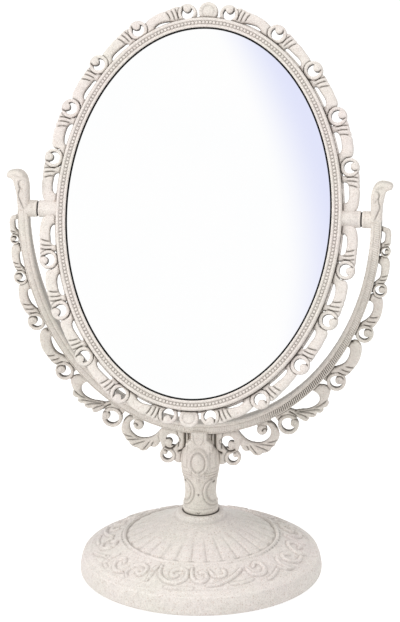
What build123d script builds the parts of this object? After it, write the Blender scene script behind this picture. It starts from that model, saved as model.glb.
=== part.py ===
from build123d import *
import os
from math import sin, cos, radians, sqrt

os.makedirs("parts", exist_ok=True)

# ---------------------------------------------------------------- dimensions
# millimetres; X across the yoke, front faces -Y, Z up, origin under the base
PIVOT_H = 182.0           # height of the swivel axis
TILT = 23.2               # lean of the mirror at rest, top away from the front

GLASS_A, GLASS_B = 63.5, 88.9      # visible glass, half width and half height
GLASS_T = 2.0                      # glass thickness
GLASS_LAP = 0.8                    # glass held under the rim lip
CORE_T = 4.0                       # spacer between the two glasses
LIP_T = 1.0                        # rim lip over the glass
RIM_A, RIM_B = 68.3, 93.0          # outer edge of the plain rim
RIM_HALF = GLASS_T + CORE_T / 2 + LIP_T    # half thickness of the rim, 5
FIL_HALF = 2.5                     # half thickness of the filigree
WEB = 0.9                          # filigree strip next to the rim

BOSS_R = 4.05                      # pivot bosses
BOSS_END = 77.0                    # outer end of the frame boss
YOKE_BOSS = 77.7                   # inner end of the yoke boss
PIN_R = 1.5
PIN_HEAD_R, PIN_HEAD_T = 2.4, 1.5
PIN_IN, PIN_OUT = 70.4, 81.5       # pin from inside the frame boss to the yoke
RUN_CLR = 0.05                     # running clearance, radial
FIT_CLR = 0.02                     # clearance of fixed inserts, radial
BUSH_R, BUSH_L = 2.6, 6.6
WASHER_R, WASHER_T = 3.5, 0.6

YIN_A, YIN_B = 81.9, 104.9         # yoke, inner ellipse
YOUT_A, YOUT_B = 87.1, 110.1       # yoke, outer ellipse
YOKE_HALF = 4.25                   # half depth of the yoke
SCROLL_HALF = 1.5                  # half depth of the yoke's scrollwork

NECK_FOOT_Z = 31.0
NECK_TOP_Z = 73.4
NECK_WALL = 2.2
TAB_HALF = 6.2                     # half depth of the neck's crown

BASE_R = 59.2
BASE_WALL = 2.2
PAD_T = 0.9
COVER_T = 1.7
BALLAST_R, BALLAST_T = 41.5, 4.0
SCREW_PCR = 46.0                   # cover screws, pitch circle radius

# ------------------------------------------------------------------- helpers
def loop(pts, sx=1, sy=1):
    return make_face(Spline(*[(sx * x, sy * y) for x, y in pts], periodic=True))


def poly(pts, sx=1, sy=1):
    return make_face(Polyline(*[(sx * x, sy * y) for x, y in pts], close=True))


def disc(c, r, sx=1, sy=1):
    return Pos(sx * c[0], sy * c[1]) * Circle(r)


def volute(c, r, hole, eye, eye_r, sx=1, sy=1):
    # ring with a C-shaped opening left around the eye
    return disc(c, r, sx, sy) - (disc(c, hole, sx, sy) - disc(eye, eye_r, sx, sy))


def upright(sk, amount, side):
    # side -1 is the front, +1 the rear
    return extrude(Plane.XZ * sk, amount=amount, dir=(0, side, 0))


def cyl_x(r, x0, x1, z=0.0):
    return Pos((x0 + x1) / 2, 0, z) * Rot(0, 90, 0) * Cylinder(r, abs(x1 - x0))


def cyl_y(r, y0, y1, x, z):
    return Pos(x, (y0 + y1) / 2, z) * Rot(90, 0, 0) * Cylinder(r, abs(y1 - y0))


def cyl_z(r, z0, z1, x=0.0, y=0.0):
    return Pos(x, y, (z0 + z1) / 2) * Cylinder(r, abs(z1 - z0))


def revolved(pts):
    return revolve(make_face(Plane.XZ * Polyline(*pts, close=True)), axis=Axis.Z)


# ------------------------------------------------------- swivelling head, 2-D
# first quadrant in the plane of the glass, centre at the swivel axis
HEAD_VOLUTES = [
    # centre, radius, hole radius, eye centre, eye radius
    ((10.0, 95.8), 4.5, 2.9, (10.3, 98.0), 2.0),
    ((33.4, 86.9), 4.6, 2.9, (34.4, 88.8), 2.0),
    ((51.5, 69.9), 4.6, 2.9, (53.3, 71.2), 2.0),
    ((63.9, 48.4), 4.6, 2.9, (66.1, 49.2), 2.0),
    ((70.9, 24.4), 4.5, 2.9, (73.1, 24.8), 2.0),
]
HEAD_LEAVES = [
    [(12.0, 90.0), (12.2, 95.5), (14.3, 98.9), (18.5, 97.6), (22.5, 95.9), (26.2, 94.0), (29.0, 91.8), (30.4, 89.6),
     (29.0, 86.6), (28.6, 83.2), (26.2, 84.6), (25.6, 88.0), (23.2, 90.4), (19.8, 91.3), (16.0, 91.3), (14.0, 90.0)],
    [(34.6, 79.0), (35.0, 83.8), (38.6, 87.4), (42.2, 84.4), (45.4, 81.0), (48.2, 77.4), (50.0, 74.4), (49.6, 72.0),
     (47.4, 70.6), (46.4, 68.0), (44.8, 69.6), (45.3, 73.0), (43.6, 76.0), (40.8, 78.5), (37.8, 80.2), (36.4, 78.0)],
    [(49.2, 62.6), (51.6, 66.2), (55.8, 68.4), (58.6, 65.0), (60.8, 61.4), (62.6, 57.6), (63.7, 54.4), (62.6, 52.4),
     (60.0, 51.4), (58.6, 48.6), (57.0, 50.6), (58.1, 54.0), (57.2, 57.2), (55.2, 60.0), (52.6, 62.3), (50.6, 61.0)],
    [(60.2, 42.4), (63.4, 44.6), (68.2, 46.8), (69.8, 43.6), (71.0, 40.0), (71.8, 36.0), (72.2, 32.2), (71.2, 29.4),
     (68.4, 28.6), (66.0, 25.6), (64.6, 28.4), (66.2, 31.8), (66.4, 35.0), (65.7, 38.2), (63.4, 41.0), (61.4, 40.6)],
    [(66.0, 19.4), (70.0, 20.6), (74.8, 22.6), (75.7, 19.0), (76.0, 15.0), (76.0, 11.0), (75.7, 7.2), (74.4, 3.8),
     (70.6, 2.4), (67.4, 3.0), (67.6, 6.2), (70.3, 8.0), (71.0, 11.0), (70.8, 14.0), (69.6, 17.0), (67.2, 17.6)],
]
ROSETTE = ((0.0, 96.9), 4.6)


def filigree():
    sk = Ellipse(RIM_A + WEB, RIM_B + WEB) - Ellipse(RIM_A - 1, RIM_B - 1)
    for sx in (1, -1):
        for sy in (1, -1):
            for c, r, hole, eye, er in HEAD_VOLUTES:
                sk += disc(c, r, sx, sy)
            for leaf in HEAD_LEAVES:
                sk += loop(leaf, sx, sy)
    for sy in (1, -1):
        sk += disc(*ROSETTE, 1, sy)
    for sx in (1, -1):
        for sy in (1, -1):
            for c, r, hole, eye, er in HEAD_VOLUTES:
                sk -= disc(c, hole, sx, sy) - disc(eye, er, sx, sy)
    return sk


def head_half(side):
    rim = Ellipse(RIM_A, RIM_B) - Ellipse(GLASS_A + GLASS_LAP + 0.2, GLASS_B + GLASS_LAP + 0.2)
    lip = Ellipse(RIM_A - 1.0, RIM_B - 1.0) - Ellipse(GLASS_A, GLASS_B)
    s = upright(rim, RIM_HALF - 1.0, side)
    s += Pos(0, side * (RIM_HALF - LIP_T), 0) * upright(lip, LIP_T, side)
    s += upright(filigree(), FIL_HALF, side)
    half_space = Pos(0, side * 10, 0) * Box(200, 20, 240)
    for sx in (1, -1):
        s += cyl_x(BOSS_R, sx * 66.5, sx * BOSS_END) & half_space
        s -= cyl_x(BUSH_R + FIT_CLR, sx * (BOSS_END - BUSH_L), sx * (BOSS_END + 1))
        s -= cyl_x(PIN_R + 0.3, sx * (PIN_IN - 0.6), sx * BOSS_END)
    return s


def tilted(s):
    return Pos(0, 0, PIVOT_H) * Rot(-TILT, 0, 0) * s


head_frame_front = tilted(head_half(-1))
head_frame_rear = tilted(head_half(1))

glass = Ellipse(GLASS_A + GLASS_LAP, GLASS_B + GLASS_LAP)
mirror_glass_front = tilted(Pos(0, -CORE_T / 2, 0) * upright(glass, GLASS_T, -1))
# magnifying glass: outer face slightly dished
dish_r = 900.0
dish = Pos(0, CORE_T / 2 + GLASS_T + sqrt(dish_r ** 2 - 40.0 ** 2), 0) * Sphere(dish_r)
mirror_glass_rear = tilted(Pos(0, CORE_T / 2, 0) * upright(glass, GLASS_T, 1) - dish)
glass_spacer = tilted(upright(Ellipse(GLASS_A - 0.5, GLASS_B - 0.5), CORE_T / 2, -1)
                      + upright(Ellipse(GLASS_A - 0.5, GLASS_B - 0.5), CORE_T / 2, 1))

# ------------------------------------------------------------------- pivots
def pivot_pin(sx):
    p = cyl_x(PIN_R, sx * PIN_IN, sx * (PIN_OUT - PIN_HEAD_T), PIVOT_H)
    return p + cyl_x(PIN_HEAD_R, sx * (PIN_OUT - PIN_HEAD_T), sx * PIN_OUT, PIVOT_H)


def pivot_bush(sx):
    b = cyl_x(BUSH_R, sx * (BOSS_END - BUSH_L + 0.02), sx * BOSS_END)
    return tilted(b - cyl_x(PIN_R + RUN_CLR, sx * (BOSS_END - BUSH_L - 1), sx * (BOSS_END + 1)))


def friction_washer(sx):
    w = cyl_x(WASHER_R, sx * (YOKE_BOSS - WASHER_T), sx * YOKE_BOSS, PIVOT_H)
    return w - cyl_x(PIN_R + FIT_CLR, sx * (YOKE_BOSS - WASHER_T - 1), sx * (YOKE_BOSS + 1), PIVOT_H)


# --------------------------------------------------------------- yoke, 2-D
# right side in the plane of the yoke: x and height
ARM_TIP = [(81.9, 182.2), (81.6, 189.3), (81.8, 194.3), (83.2, 198.6), (86.0, 200.8), (89.6, 200.7),
           (92.0, 199.3), (91.8, 197.8), (89.8, 197.0), (88.4, 194.3), (87.4, 189.3), (87.1, 182.2)]
YOKE_VOLUTES = [
    ((88.9, 166.6), 2.45, 1.7, (89.5, 166.7), 1.1),
    ((86.5, 147.4), 3.45, 2.4, (87.4, 147.7), 1.6),
    ((79.3, 125.3), 4.4, 2.8, (80.9, 125.8), 2.0),
    ((66.0, 100.6), 4.65, 3.0, (67.5, 101.4), 2.0),
    ((43.0, 77.8), 5.1, 3.3, (46.0, 78.6), 2.0),
]
# width of the foot that joins each volute to the bar
VOLUTE_FOOT = [3.0, 4.2, 5.2, 6.2, 7.0]
YOKE_LEAVES = [
    [(86.0, 178.8), (88.6, 178.5), (90.8, 177.5), (91.5, 175.0), (91.3, 172.0), (90.9, 169.6), (89.4, 168.6), (87.4, 168.2),
     (86.0, 169.8), (87.8, 171.2), (88.6, 173.7), (88.3, 176.2), (86.0, 177.3)],
    [(85.0, 163.4), (88.2, 164.5), (90.5, 162.6), (91.0, 159.2), (90.4, 155.4), (88.9, 151.3), (86.4, 149.5), (83.6, 150.9),
     (85.6, 152.9), (86.8, 156.6), (86.4, 160.2), (84.6, 161.8)],
    [(81.0, 144.3), (84.6, 145.6), (87.3, 143.6), (87.9, 139.6), (87.2, 135.0), (85.2, 130.8), (81.4, 127.6), (75.6, 129.3),
     (78.8, 131.7), (82.0, 134.8), (83.3, 138.4), (82.6, 141.4), (80.0, 142.4)],
    [(71.6, 121.0), (75.0, 122.0), (77.6, 119.8), (78.0, 115.8), (76.8, 111.3), (74.4, 107.6), (71.4, 104.2), (65.0, 103.5),
     (63.0, 107.1), (67.0, 108.7), (70.6, 111.1), (72.2, 115.0), (71.8, 118.2), (69.6, 119.4)],
]
# acanthus fan under the fourth volute, with its leaf tips
FAN_OUTER = [(53.2, 96.6), (58.4, 98.9), (61.0, 98.5), (63.2, 97.2), (63.3, 95.6), (62.9, 93.8), (62.3, 92.0), (61.9, 91.0),
             (62.4, 89.8), (62.2, 88.4), (61.2, 87.4), (59.6, 86.8), (60.0, 85.9), (59.4, 84.9), (58.2, 84.3), (56.8, 84.3),
             (56.7, 83.3), (55.8, 82.3), (54.4, 81.8), (53.1, 81.8), (52.9, 80.9), (52.2, 80.0), (51.2, 79.7), (50.0, 80.2),
             (48.6, 80.9), (44.0, 82.4), (40.0, 82.0), (38.4, 84.6), (40.8, 86.7), (45.2, 85.5), (49.1, 85.7), (52.2, 86.1),
             (54.8, 87.1), (56.8, 88.6), (57.9, 90.5), (57.9, 92.5), (56.3, 94.8)]
# inward scroll under the yoke: arm, band that curls over the eye, and leaf fan
ARM_SCROLL = [(28.3, 76.0), (27.0, 79.8), (33.6, 81.6), (34.7, 79.2), (35.6, 78.5), (36.7, 77.6), (37.6, 75.9), (38.4, 73.7),
              (38.7, 72.0), (38.5, 70.6), (37.9, 69.2), (37.1, 68.2), (36.8, 67.2), (36.0, 66.1), (35.0, 65.4), (34.6, 64.4),
              (33.6, 63.4), (32.2, 62.7), (30.8, 62.4), (29.8, 61.6), (28.4, 61.0), (26.8, 61.2), (25.6, 62.0), (24.6, 63.2),
              (23.4, 63.2), (22.0, 63.2), (20.9, 63.9), (20.2, 65.0), (19.5, 66.2), (17.0, 69.0), (13.0, 71.5), (12.0, 74.6),
              (16.0, 75.6), (19.3, 72.6), (20.0, 71.7), (21.4, 70.15), (22.9, 68.9), (24.8, 68.0), (26.8, 67.6), (29.1, 67.65),
              (31.0, 68.2), (32.5, 69.3), (33.6, 70.5), (34.3, 72.1), (34.5, 73.6), (34.2, 75.2), (33.5, 76.2), (32.5, 77.0), (31.6, 75.9)]
SCROLL_EYE = ((30.2, 74.5), 2.6)
# mass between the arm scroll and the neck, with its round opening and eye
NECK_MASS = [(9.0, 74.6), (16.0, 75.6), (19.3, 72.6), (20.2, 69.0), (19.5, 66.2), (18.9, 64.0), (18.3, 62.6), (15.4, 62.2),
             (12.6, 62.4), (10.2, 64.5)]
NECK_HOLE = ((13.6, 67.6), 3.1)
NECK_EYE = ((15.4, 66.1), 1.85)
NECK_RING = ((16.0, 59.3), 3.9, 2.3)
NECK_RING_EYE = ((17.2, 60.9), 1.15)
# tongue that enters the neck, with the strap on each side
TONGUE = [(0.0, 74.7), (10.4, 74.2), (10.2, 66.5), (13.4, 63.5), (12.6, 56.6), (9.6, 55.7), (5.0, 55.7), (5.0, 48.1), (0.0, 48.1)]


def volute_foot(c, r, width, sx):
    nx, nz = c[0] / YOUT_A ** 2, (c[1] - PIVOT_H) / YOUT_B ** 2
    k = 1 / sqrt(nx * nx + nz * nz)
    nx, nz, w, reach = nx * k, nz * k, width / 2, r + 1.6
    return poly([(c[0] - nz * w, c[1] + nx * w), (c[0] + nz * w, c[1] - nx * w),
                 (c[0] - nx * reach + nz * w, c[1] - nz * reach - nx * w),
                 (c[0] - nx * reach - nz * w, c[1] - nz * reach + nx * w)], sx)


def yoke_bar():
    ring = Pos(0, PIVOT_H) * (Ellipse(YOUT_A, YOUT_B) - Ellipse(YIN_A, YIN_B))
    ring -= Pos(0, PIVOT_H + 100) * Rectangle(240, 200)
    for sx in (1, -1):
        tip = make_face(Wire([
            Spline(*[(sx * x, z) for x, z in ARM_TIP]),
            Line((sx * ARM_TIP[-1][0], ARM_TIP[-1][1]), (sx * YOUT_A, PIVOT_H - 1.3)),
            Line((sx * YOUT_A, PIVOT_H - 1.3), (sx * YIN_A, PIVOT_H - 1.3)),
            Line((sx * YIN_A, PIVOT_H - 1.3), (sx * ARM_TIP[0][0], ARM_TIP[0][1])),
        ]))
        ring += tip
    return ring


def yoke_scroll():
    ring_out = Pos(0, PIVOT_H) * Ellipse(YOUT_A - 0.6, YOUT_B - 0.6)
    sk = None
    for sx in (1, -1):
        side = disc(YOKE_VOLUTES[0][0], YOKE_VOLUTES[0][1], sx)
        for c, r, hole, eye, er in YOKE_VOLUTES[1:]:
            side += disc(c, r, sx)
        for (c, r, hole, eye, er), width in zip(YOKE_VOLUTES, VOLUTE_FOOT):
            side += volute_foot(c, r, width, sx)
        for leaf in YOKE_LEAVES:
            side += loop(leaf, sx)
        side += poly(FAN_OUTER, sx)
        side += poly(ARM_SCROLL, sx)
        side += disc(*SCROLL_EYE, sx)
        side += disc(NECK_RING[0], NECK_RING[1], sx)
        side += poly(NECK_MASS, sx)
        side += poly(TONGUE, sx)
        for c, r, hole, eye, er in YOKE_VOLUTES:
            side -= disc(c, hole, sx) - disc(eye, er, sx)
        side -= disc(*NECK_HOLE, sx) - disc(*NECK_EYE, sx)
        side -= disc(NECK_RING[0], NECK_RING[2], sx) - disc(*NECK_RING_EYE, sx)
        side -= ring_out
        sk = side if sk is None else sk + side
    return sk


def yoke_half(side):
    s = upright(yoke_bar(), YOKE_HALF, side) + upright(yoke_scroll(), SCROLL_HALF, side)
    half_space = Pos(0, side * 10, PIVOT_H) * Box(200, 20, 40)
    for sx in (1, -1):
        s += cyl_x(BOSS_R, sx * YOKE_BOSS, sx * 83.0, PIVOT_H) & half_space
        s -= cyl_x(PIN_R + FIT_CLR, sx * (YOKE_BOSS - 1), sx * PIN_OUT, PIVOT_H)
        s -= cyl_x(PIN_HEAD_R + FIT_CLR, sx * (PIN_OUT - PIN_HEAD_T), sx * (PIN_OUT + FIT_CLR), PIVOT_H)
    for z in NECK_SCREW_Z:
        s -= cyl_y(1.55, -5, 5, 0, z)
    return s


# ------------------------------------------------------------------- neck
NECK_PROFILE = [(8.4, 31.0), (8.6, 32.2), (8.65, 33.6), (8.4, 35.6), (7.85, 38.0), (7.55, 40.8), (7.7, 44.3), (8.15, 47.8),
                (8.8, 51.0), (9.3, 54.0), (9.6, 58.0), (9.3, 61.0), (8.4, 63.3), (6.8, 64.7)]
NECK_SCREW_Z = (52.0, 59.4)
INSERT_R, INSERT_Z0, INSERT_Z1 = 4.0, 32.0, 43.0
BOLT_R = 2.5


def neck_solid():
    s = revolved([(0, NECK_FOOT_Z)] + NECK_PROFILE + [(0, NECK_PROFILE[-1][1])])
    inner = [(r - NECK_WALL, z) for r, z in NECK_PROFILE if 33.0 < z < 62.0]
    cavity = revolved([(0, inner[0][1])] + inner + [(0, inner[-1][1])])
    cavity -= cyl_z(INSERT_R + 1.7, 28.0, INSERT_Z1 + 1.0)
    for z in NECK_SCREW_Z:
        cavity -= cyl_y(4.4, -12, 12, 0, z)
    s -= cavity
    crown = poly([(-6.5, 60.0), (-6.5, 67.2), (-3.9, 69.4), (-3.75, NECK_TOP_Z), (3.75, NECK_TOP_Z), (3.9, 69.4), (6.5, 67.2), (6.5, 60.0)])
    s += upright(crown, TAB_HALF, -1) - cavity
    s += upright(crown, TAB_HALF, 1) - cavity
    s -= cyl_z(INSERT_R + FIT_CLR, INSERT_Z0, INSERT_Z1)
    s -= cyl_z(BOLT_R + 0.3, 28.0, INSERT_Z0)
    return s


yoke_front_shell = yoke_half(-1)
yoke_rear_shell = yoke_half(1)
yoke_whole = yoke_front_shell + yoke_rear_shell
neck = neck_solid() - yoke_whole
SCREW_HEAD_Y, SCREW_TIP_Y = 6.0, -5.0
neck_front_shell = neck & (Pos(0, -15, 55) * Box(60, 30, 60))
neck_rear_shell = neck & (Pos(0, 15, 55) * Box(60, 30, 60))
screws = []
for z in NECK_SCREW_Z:
    neck_front_shell -= cyl_y(1.42, 0, SCREW_TIP_Y - 0.3, 0, z)
    neck_rear_shell -= cyl_y(1.6, 0, SCREW_HEAD_Y, 0, z)
    neck_rear_shell -= cyl_y(3.0, SCREW_HEAD_Y, 14, 0, z)
    screws.append(cyl_y(1.4, SCREW_HEAD_Y, SCREW_TIP_Y, 0, z) + cyl_y(2.75, SCREW_HEAD_Y, SCREW_HEAD_Y + 1.8, 0, z)
                  - (Pos(0, SCREW_HEAD_Y + 1.4, z) * Box(3.2, 1.0, 0.7)) - (Pos(0, SCREW_HEAD_Y + 1.4, z) * Box(0.7, 1.0, 3.2)))
neck_screws = Compound(children=[s.solids()[0] if hasattr(s, "solids") else s for s in screws])

neck_insert = cyl_z(INSERT_R, INSERT_Z0, INSERT_Z1) - cyl_z(BOLT_R + FIT_CLR, INSERT_Z0 - 1, INSERT_Z1 + 1)
for z in (34.4, 37.4, 40.4):
    neck_insert -= cyl_z(INSERT_R + 1, z, z + 0.7) - cyl_z(INSERT_R - 0.4, z - 1, z + 2)

# ------------------------------------------------------------------- base
BASE_SIDE = [(58.7, 0.5), (59.0, 1.0), (BASE_R, 2.6), (58.9, 5.0), (58.4, 7.2), (57.9, 8.2), (57.0, 9.1)]
BASE_TOP = [(55.5, 10.3), (53.0, 11.7), (50.0, 13.1), (46.0, 14.9), (42.0, 16.6), (39.6, 17.6), (38.6, 18.1), (38.2, 18.7),
            (37.6, 18.95), (37.0, 18.7), (36.4, 18.3), (30.0, 20.9), (22.0, 24.2), (15.5, 27.1), (12.2, 28.6),
            (11.4, 30.9), (10.9, 31.4), (9.6, 31.5), (8.9, 31.3), (8.75, 31.0)]
BASE_INSIDE = [(56.8, 0.4), (56.6, 5.0), (55.6, 7.4), (54.3, 8.4), (52.0, 9.6), (49.0, 11.0), (45.0, 12.8), (41.0, 14.5),
               (37.4, 16.0), (29.2, 18.5), (21.2, 21.9), (14.0, 25.1), (9.0, 27.2)]
BOSS_Z = 24.0            # underside of the boss under the neck
HEAD_H, WASH_H = 3.5, 1.0


def base_shell_solid():
    s = revolved([(0, 0.5)] + BASE_SIDE + BASE_TOP + [(0, NECK_FOOT_Z)]) - revolved([(0, 0.4)] + BASE_INSIDE + [(0, 27.2)])
    s += cyl_z(8.0, BOSS_Z, 28.0)
    for k in range(3):
        a = radians(90 + 120 * k)
        x, y = SCREW_PCR * cos(a), SCREW_PCR * sin(a)
        s += cyl_z(3.2, PAD_T + COVER_T, 13.2, x, y)
        s -= cyl_z(1.27, 0, 10.2, x, y)
    # six ribs under the dome
    for k in range(6):
        rib = Pos(27.0, 0, 0) * Box(38.0, 1.4, 60.0)
        keep = revolved([(7.5, 19.0), (7.5, 27.9), (14.0, 25.6), (21.2, 22.4), (29.2, 19.0), (37.4, 16.5), (41.0, 15.0), (44.0, 13.6), (44.0, 11.4), (36.0, 12.6)])
        s += Rot(0, 0, 60 * k) * (rib & keep)
    s -= cyl_z(BOLT_R + 0.3, 20.0, 40.0)
    return s


base_shell = base_shell_solid()
ballast_plate = cyl_z(BALLAST_R, PAD_T + COVER_T, PAD_T + COVER_T + BALLAST_T) - cyl_z(6.0, 0, 20)
base_cover = cyl_z(56.5, PAD_T, PAD_T + COVER_T)
cover_list = []
for k in range(3):
    a = radians(90 + 120 * k)
    x, y = SCREW_PCR * cos(a), SCREW_PCR * sin(a)
    base_cover -= cyl_z(1.6, 0, 5, x, y)
    base_cover -= Pos(x, y, PAD_T + 0.6) * Cone(2.9, 1.6, 1.2)
    sc = Pos(x, y, PAD_T + 0.6) * Cone(2.7, 1.25, 1.2) + cyl_z(1.25, PAD_T + 1.0, 9.6, x, y)
    sc -= Pos(x, y, PAD_T + 0.3) * Box(2.6, 0.6, 0.6)
    sc -= Pos(x, y, PAD_T + 0.3) * Box(0.6, 2.6, 0.6)
    cover_list.append(sc.solids()[0])
cover_screws = Compound(children=cover_list)
base_pad = cyl_z(56.0, 0, PAD_T)

tie_bolt_washer = cyl_z(6.0, BOSS_Z - WASH_H, BOSS_Z) - cyl_z(BOLT_R + 0.25, 0, 60)
hexhead = extrude(Pos(0, 0, BOSS_Z - WASH_H - HEAD_H) * RegularPolygon(4.4, 6), amount=HEAD_H)
tie_bolt = hexhead + cyl_z(BOLT_R, BOSS_Z - WASH_H, 42.0)

# ------------------------------------------------------------------ output
nodes = {
    "head_frame_front": head_frame_front,
    "head_frame_rear": head_frame_rear,
    "mirror_glass_front": mirror_glass_front,
    "mirror_glass_rear": mirror_glass_rear,
    "glass_spacer": glass_spacer,
    "pivot_pin_left": pivot_pin(-1),
    "pivot_pin_right": pivot_pin(1),
    "pivot_bush_left": pivot_bush(-1),
    "pivot_bush_right": pivot_bush(1),
    "friction_washer_left": friction_washer(-1),
    "friction_washer_right": friction_washer(1),
    "yoke_front_shell": yoke_front_shell,
    "yoke_rear_shell": yoke_rear_shell,
    "neck_front_shell": neck_front_shell,
    "neck_rear_shell": neck_rear_shell,
    "neck_screws": neck_screws,
    "neck_insert": neck_insert,
    "tie_bolt": tie_bolt,
    "tie_bolt_washer": tie_bolt_washer,
    "base_shell": base_shell,
    "ballast_plate": ballast_plate,
    "base_cover": base_cover,
    "cover_screws": cover_screws,
    "base_pad": base_pad,
}
for name, shape in nodes.items():
    export_step(shape, f"parts/{name}.step")
    print(name, "solids", len(shape.solids()), "volume", round(shape.volume, 1))
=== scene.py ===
import math

import bpy
import numpy as np
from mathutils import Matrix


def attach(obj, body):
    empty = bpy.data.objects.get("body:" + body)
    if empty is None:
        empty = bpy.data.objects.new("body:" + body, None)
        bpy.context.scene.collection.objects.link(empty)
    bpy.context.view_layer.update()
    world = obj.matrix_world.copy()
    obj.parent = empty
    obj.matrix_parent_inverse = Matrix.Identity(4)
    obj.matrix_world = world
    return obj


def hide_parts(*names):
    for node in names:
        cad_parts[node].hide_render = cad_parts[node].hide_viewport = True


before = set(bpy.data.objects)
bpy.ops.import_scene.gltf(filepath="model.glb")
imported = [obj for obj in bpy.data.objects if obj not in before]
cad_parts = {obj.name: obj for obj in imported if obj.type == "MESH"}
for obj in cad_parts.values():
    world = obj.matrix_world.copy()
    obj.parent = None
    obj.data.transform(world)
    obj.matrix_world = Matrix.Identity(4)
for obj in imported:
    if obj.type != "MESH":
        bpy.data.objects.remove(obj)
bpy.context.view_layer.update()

import openvdb
from mathutils import Matrix, Vector

MM = 0.001
RNG = np.random.default_rng(7)

# ------------------------------------------------------------------ the frame's sizes, mm
PIVOT_H, TILT = 182.0, math.radians(23.2)
GLASS_A, GLASS_B = 63.5, 88.9
YIN_A, YIN_B, YOUT_A, YOUT_B = 81.9, 104.9, 87.1, 110.1
BOSS_R = 4.05

HEAD_VOLUTES = [
    ((10.0, 95.8), 4.5, 2.9, (10.3, 98.0), 2.0),
    ((33.4, 86.9), 4.6, 2.9, (34.4, 88.8), 2.0),
    ((51.5, 69.9), 4.6, 2.9, (53.3, 71.2), 2.0),
    ((63.9, 48.4), 4.6, 2.9, (66.1, 49.2), 2.0),
    ((70.9, 24.4), 4.5, 2.9, (73.1, 24.8), 2.0),
]
HEAD_LEAVES = [
    [(12.0, 90.0), (12.2, 95.5), (14.3, 98.9), (18.5, 97.6), (22.5, 95.9), (26.2, 94.0), (29.0, 91.8), (30.4, 89.6),
     (29.0, 86.6), (28.6, 83.2), (26.2, 84.6), (25.6, 88.0), (23.2, 90.4), (19.8, 91.3), (16.0, 91.3), (14.0, 90.0)],
    [(34.6, 79.0), (35.0, 83.8), (38.6, 87.4), (42.2, 84.4), (45.4, 81.0), (48.2, 77.4), (50.0, 74.4), (49.6, 72.0),
     (47.4, 70.6), (46.4, 68.0), (44.8, 69.6), (45.3, 73.0), (43.6, 76.0), (40.8, 78.5), (37.8, 80.2), (36.4, 78.0)],
    [(49.2, 62.6), (51.6, 66.2), (55.8, 68.4), (58.6, 65.0), (60.8, 61.4), (62.6, 57.6), (63.7, 54.4), (62.6, 52.4),
     (60.0, 51.4), (58.6, 48.6), (57.0, 50.6), (58.1, 54.0), (57.2, 57.2), (55.2, 60.0), (52.6, 62.3), (50.6, 61.0)],
    [(60.2, 42.4), (63.4, 44.6), (68.2, 46.8), (69.8, 43.6), (71.0, 40.0), (71.8, 36.0), (72.2, 32.2), (71.2, 29.4),
     (68.4, 28.6), (66.0, 25.6), (64.6, 28.4), (66.2, 31.8), (66.4, 35.0), (65.7, 38.2), (63.4, 41.0), (61.4, 40.6)],
    [(66.0, 19.4), (70.0, 20.6), (74.8, 22.6), (75.7, 19.0), (76.0, 15.0), (76.0, 11.0), (75.7, 7.2), (74.4, 3.8),
     (70.6, 2.4), (67.4, 3.0), (67.6, 6.2), (70.3, 8.0), (71.0, 11.0), (70.8, 14.0), (69.6, 17.0), (67.2, 17.6)],
]
ROSETTE = ((0.0, 96.9), 4.6)

ARM_TIP = [(81.9, 182.2), (81.6, 189.3), (81.8, 194.3), (83.2, 198.6), (86.0, 200.8), (89.6, 200.7),
           (92.0, 199.3), (91.8, 197.8), (89.8, 197.0), (88.4, 194.3), (87.4, 189.3), (87.1, 182.2)]
YOKE_VOLUTES = [
    ((88.9, 166.6), 2.45, 1.7, (89.5, 166.7), 1.1),
    ((86.5, 147.4), 3.45, 2.4, (87.4, 147.7), 1.6),
    ((79.3, 125.3), 4.4, 2.8, (80.9, 125.8), 2.0),
    ((66.0, 100.6), 4.65, 3.0, (67.5, 101.4), 2.0),
    ((43.0, 77.8), 5.1, 3.3, (46.0, 78.6), 2.0),
]
# width of the foot that joins each volute to the bar
VOLUTE_FOOT = [3.0, 4.2, 5.2, 6.2, 7.0]
YOKE_LEAVES = [
    [(86.0, 178.8), (88.6, 178.5), (90.8, 177.5), (91.5, 175.0), (91.3, 172.0), (90.9, 169.6), (89.4, 168.6), (87.4, 168.2),
     (86.0, 169.8), (87.8, 171.2), (88.6, 173.7), (88.3, 176.2), (86.0, 177.3)],
    [(85.0, 163.4), (88.2, 164.5), (90.5, 162.6), (91.0, 159.2), (90.4, 155.4), (88.9, 151.3), (86.4, 149.5), (83.6, 150.9),
     (85.6, 152.9), (86.8, 156.6), (86.4, 160.2), (84.6, 161.8)],
    [(81.0, 144.3), (84.6, 145.6), (87.3, 143.6), (87.9, 139.6), (87.2, 135.0), (85.2, 130.8), (81.4, 127.6), (75.6, 129.3),
     (78.8, 131.7), (82.0, 134.8), (83.3, 138.4), (82.6, 141.4), (80.0, 142.4)],
    [(71.6, 121.0), (75.0, 122.0), (77.6, 119.8), (78.0, 115.8), (76.8, 111.3), (74.4, 107.6), (71.4, 104.2), (65.0, 103.5),
     (63.0, 107.1), (67.0, 108.7), (70.6, 111.1), (72.2, 115.0), (71.8, 118.2), (69.6, 119.4)],
]
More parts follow.
